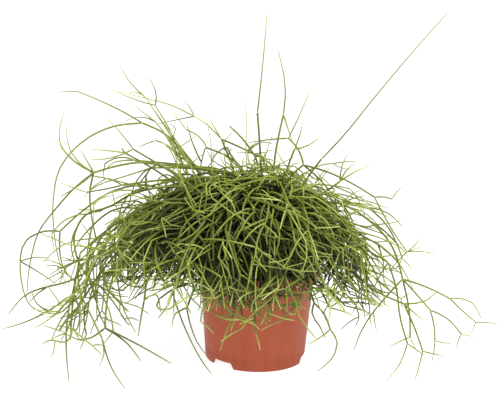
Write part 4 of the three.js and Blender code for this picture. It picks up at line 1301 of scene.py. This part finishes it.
def shade_at(points):
    """How deep in the shade of other stems each point lies, from 0 to 1, for the skin's painted
    shade.
    """
    away = points - MOP_MIDDLE
    away[:, 2] = np.maximum(away[:, 2], 0)
    away /= np.sqrt((away ** 2).sum(1))[:, None] + 1e-6
    over = crowd[cells_in(crowd, CROWD_CELL, points + away * CROWD_REACH)]
    share = share_between(over, *CROWD_FULL)
    share = share * share * (3 - 2 * share)
    low = (share_between(points[:, 2], *LOW_SHADE_RISE)
           * share_between(np.hypot(points[:, 0], points[:, 1]), *LOW_SHADE_OUT))
    return share + (1 - share) * LOW_SHADE * low * np.clip(over / CROWD_FULL[0], 0, 1)


def tips_of(stem):
    return [tip for fork in stem.forks for tip in tips_of(fork)] if stem.forks else [stem.line[-1]]


def run_to_tip(stem):
    """How far it is from a stem's end to the furthest tip of its forks."""
    return max((measured(fork.line)[-1] + run_to_tip(fork) for fork in stem.forks), default=0)


patterns = {}


def bent_stem(stem):
    """The pattern and the corners of one stem in metres, with how far along it each ring is and
    how young, shaded, woody and dry."""
    size = measured(stem.line)[-1]
    wide, narrow = RADII[stem.level]
    if not stem.forks:
        narrow = min(narrow, TIP_RADIUS)
    old, young = YOUTH[stem.level]
    heights = [tip[2] for tip in tips_of(stem)]
    if min(heights) > SHOOTS_ABOVE or stem.clump.name == "pot_west" and max(heights) < SHOOTS_BELOW:
        wide, narrow = wide * SHOOT_WIDTH[0], narrow * SHOOT_WIDTH[1]
        old, young = SHOOT_YOUTH
    count = max(5, round(size / SPACING[stem.level]) + 4)
    carries = any(np.allclose(fork.path[0], stem.line[-1]) for fork in stem.forks)
    cap = narrow * (JOINT_CAP if carries else TIP_CAP)
    places = np.concatenate([[0], np.linspace(min(NECK_RUN, 0.2 * size), size - cap, count - 3),
                             [size - 0.45 * cap, size]])
    to_end = size - places
    radius = wide + (narrow - wide) * places / size
    woody = np.zeros(count)
    if stem.parent:
        radius[0] *= NECK
    else:
        woody = np.clip(1.4 - places / WOODY_RUN, 0, 1)
        radius *= 1 + WOODY_WIDER * woody
    if carries:
        radius *= 1 + (SWELL - 1) * np.exp(-(to_end / SWELL_RUN) ** 2)
    else:
        radius *= 1 - SLIM * np.exp(-to_end / SLIM_RUN)
    radius[-2:] *= JOINT_END if carries else TIP_END
    points = along_line(stem.line, places)
    along = along_line(stem.line, places + 0.5) - along_line(stem.line, places - 0.5)
    along /= np.sqrt((along ** 2).sum(1))[:, None]
    across = np.empty_like(along)
    side = np.cross(along[0], UP if abs(along[0][2]) < 0.8 else (0, 1, 0))
    for i, way in enumerate(along):
        across[i] = side = unit(side - way * (side @ way))
    aside = np.cross(along, across)
    if count not in patterns:
        patterns[count] = straight_stem(SIDES, count)
    shape = patterns[count]
    ring = shape.ring
    corners = (points[ring] + across[ring] * (radius[ring] * shape.corners[:, 0])[:, None]
               + aside[ring] * (radius[ring] * shape.corners[:, 1])[:, None])
    bulge = JOINT_BULGE if carries else TIP_BULGE
    corners[shape.centre & (ring == count - 1)] += along[-1] * radius[-1] * bulge
    youth = np.maximum(old + (young - old) * places / size,
                       TIP_YOUTH - (to_end + run_to_tip(stem)) / TIP_AGES)
    dry = np.zeros(count)
    if not stem.forks:
        youth += (1 - youth) * np.exp(-to_end / TIP_RUN) * TIP_PALER
        if chance.random() < DRY_TIPS:
            dry = np.clip(1.5 - to_end / chance.uniform(*DRY_RUN), 0, 1)
    traits = dict(youth=youth, shade=shade_at(points), woody=woody, dry=dry)
    return shape, corners * MM, places, traits


def spray_piece(clump):
    """All stems of a clump as one piece, with its traits as attributes and a map of its skin:
    how far along the stem in metres, and how far round it."""
    corners, faces, maps = [], ([], []), ([], [])
    traits = dict(youth=[], shade=[], woody=[], dry=[], tint=[])
    first = 0
    for stem in stems:
        if stem.clump is not clump:
            continue
        shape, bent, places, along = bent_stem(stem)
        corners.append(bent)
        for trait, values in along.items():
            traits[trait].append(values[shape.ring])
        traits["tint"].append(np.full(len(bent), chance.uniform()))
        for i, (rows, turns) in enumerate(shape.rows):
            faces[i].append(rows + first)
            maps[i].append(np.stack((places[shape.ring[rows]] * MM, turns), -1).reshape(-1, 2))
        first += len(bent)
    piece = mesh_piece("stems_" + clump.name, corners, [np.concatenate(rows) for rows in faces])
    mesh = piece.data
    for trait, values in traits.items():
        mesh.attributes.new(trait, "FLOAT", "POINT").data.foreach_set(
            "value", np.concatenate(values).astype(np.float32))
    skin = np.concatenate([*maps[0], *maps[1]]).astype(np.float32)
    mesh.uv_layers.new(name="skin").data.foreach_set("uv", skin.ravel())
    mesh.polygons.foreach_set("use_smooth", np.ones(len(mesh.polygons), bool))
    mesh.validate()
    return piece


# Living cactus skin: a waxy green rind, dark on old stems and yellow-green on young ones, with
# a pale woolly speck at each bud place, about 7 mm apart, grey-brown cork at the foot and a few
# tips dried to rust. Stems deep in the mop, in the shade of others, are darkened by painted shade.
waxy_skin, add = new_material("waxy_cactus_skin")
place = add("TexCoord").outputs["Object"]
youth, tint, shade, woody, dry = (
    add("Attribute", attribute_name=trait).outputs["Fac"]
    for trait in ("youth", "tint", "shade", "woody", "dry"))
mottle = add("TexNoise", {"Vector": place, "Scale": 60, "Detail": 3})
shifted = add("Math", {0: mottle, 1: 0.3, 2: -0.15}, operation="MULTIPLY_ADD")
stem_shift = add("Math", {0: tint, 1: 0.36, 2: -0.18}, operation="MULTIPLY_ADD")
both = add("Math", {0: shifted, 1: stem_shift})
age = add("Math", {0: youth, 1: both}, use_clamp=True)
green = add("ValToRGB", {"Fac": age}, stops=(
    (0.0, "3b4413"), (0.92, "98a34e"), (0.3, "535f17"), (0.55, "6b7921"), (0.78, "839039"),
    (1.0, "abb268")))
speckle = add("Mapping", {"Vector": add("UVMap", uv_map="skin"), "Scale": (150, 2, 1)})
buds = add("TexVoronoi", {"Vector": speckle, "Scale": 1}, voronoi_dimensions="2D")
bud = add("ValToRGB", {"Fac": buds}, stops=((0.05, 0.55), (0.11, 0.0)))
specked = add("Mix", {0: bud, 6: green, 7: linear("b3b183")}, data_type="RGBA")
cork_grain = add("TexNoise", {"Vector": place, "Scale": 400, "Detail": 3})
cork = add("ValToRGB", {"Fac": cork_grain}, stops=((0.3, "4a3c28"), (0.7, "75664c")))
barked = add("Mix", {0: woody, 6: specked, 7: cork}, data_type="RGBA")
rust = add("ValToRGB", {"Fac": cork_grain}, stops=((0.3, "8c6c30"), (0.7, "b5924a")))
rusty = add("Mix", {0: dry, 6: barked, 7: rust}, data_type="RGBA")
# Painted shade: the colour is multiplied down towards dull olive where other stems crowd over a
# stem, and more so low under the mop near the pot.
painted_shade = add("Mix", {0: shade, 6: linear("ffffff"), 7: linear("626a4e")}, data_type="RGBA")
coloured = add("Mix", {0: 1.0, 6: rusty, 7: painted_shade}, data_type="RGBA", blend_type="MULTIPLY")
fine = add("TexNoise", {"Vector": place, "Scale": 1500, "Detail": 2})
bump = add("Bump", {"Height": fine, "Strength": 0.15, "Distance": 0.05 * MM})
shader = add("BsdfPrincipled", {"Base Color": coloured, "Roughness": 0.45, "Normal": bump,
                                "Specular IOR Level": 0.3})
add("OutputMaterial", {"Surface": shader})
for clump in clumps:
    spray = spray_piece(clump)
    spray.data.materials.append(waxy_skin)
    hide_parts("spray_" + clump.name)
    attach(spray, "root")

# ---- Studio ---------------------------------------------------------------------------------
# A white table under a large, soft light from above, with a weaker one from the left and a pale
# fill from all round.
scene = bpy.context.scene
scene.view_settings.view_transform = "Standard"
bpy.ops.mesh.primitive_plane_add(size=14)
floor = bpy.context.object
floor.name = "white_table"

# White laminate: a flat white with hardly any grain. It glows a little, as a studio light table.
laminate, add = new_material("white_laminate")
grain = add("TexNoise", {"Vector": add("TexCoord").outputs["Object"], "Scale": 60})
white = add("ValToRGB", {"Fac": grain}, stops=((0.3, "a0a09f"), (0.7, "a4a4a3")))
shader = add("BsdfPrincipled", {"Base Color": white, "Roughness": 0.6,
                                "Emission Color": (1, 1, 1, 1), "Emission Strength": 0.86})
add("OutputMaterial", {"Surface": shader})
floor.data.materials.append(laminate)

world = bpy.data.worlds.new("studio")
world.use_nodes = True
light_all_round = world.node_tree.nodes["Background"].inputs
light_all_round["Color"].default_value = (1, 1, 1, 1)
light_all_round["Strength"].default_value = 0.55
scene.world = world


def soft_light(name, place, size, power):
    """A square softbox that faces the plant."""
    light = bpy.data.lights.new(name, "AREA")
    light.shape = "SQUARE"
    light.size = size
    light.energy = power
    lamp = bpy.data.objects.new(name, light)
    scene.collection.objects.link(lamp)
    lamp.location = place
    lamp.rotation_euler = (lamp.location - LIT).to_track_quat("Z", "Y").to_euler()


LIT = Vector((0, 0, 0.12))
soft_light("key_softbox", (0.5, -0.5, 1.45), 0.9, 37)
soft_light("fill_softbox", (-0.9, -0.9, 0.9), 0.8, 6)

EYE = Vector((0, -1.438, 0.5265))
AIM = Vector((-0.0094, 0, 0.1561))
ROLL = math.radians(1.82)
camera_data = bpy.data.cameras.new("camera")
camera_data.lens = 112
camera_data.sensor_width = 36
camera = bpy.data.objects.new("camera", camera_data)
scene.collection.objects.link(camera)
camera.location = EYE
camera.rotation_mode = "QUATERNION"
camera.rotation_quaternion = ((AIM - EYE).to_track_quat("-Z", "Y")
                              @ Quaternion((0, 0, 1), ROLL))
scene.camera = camera
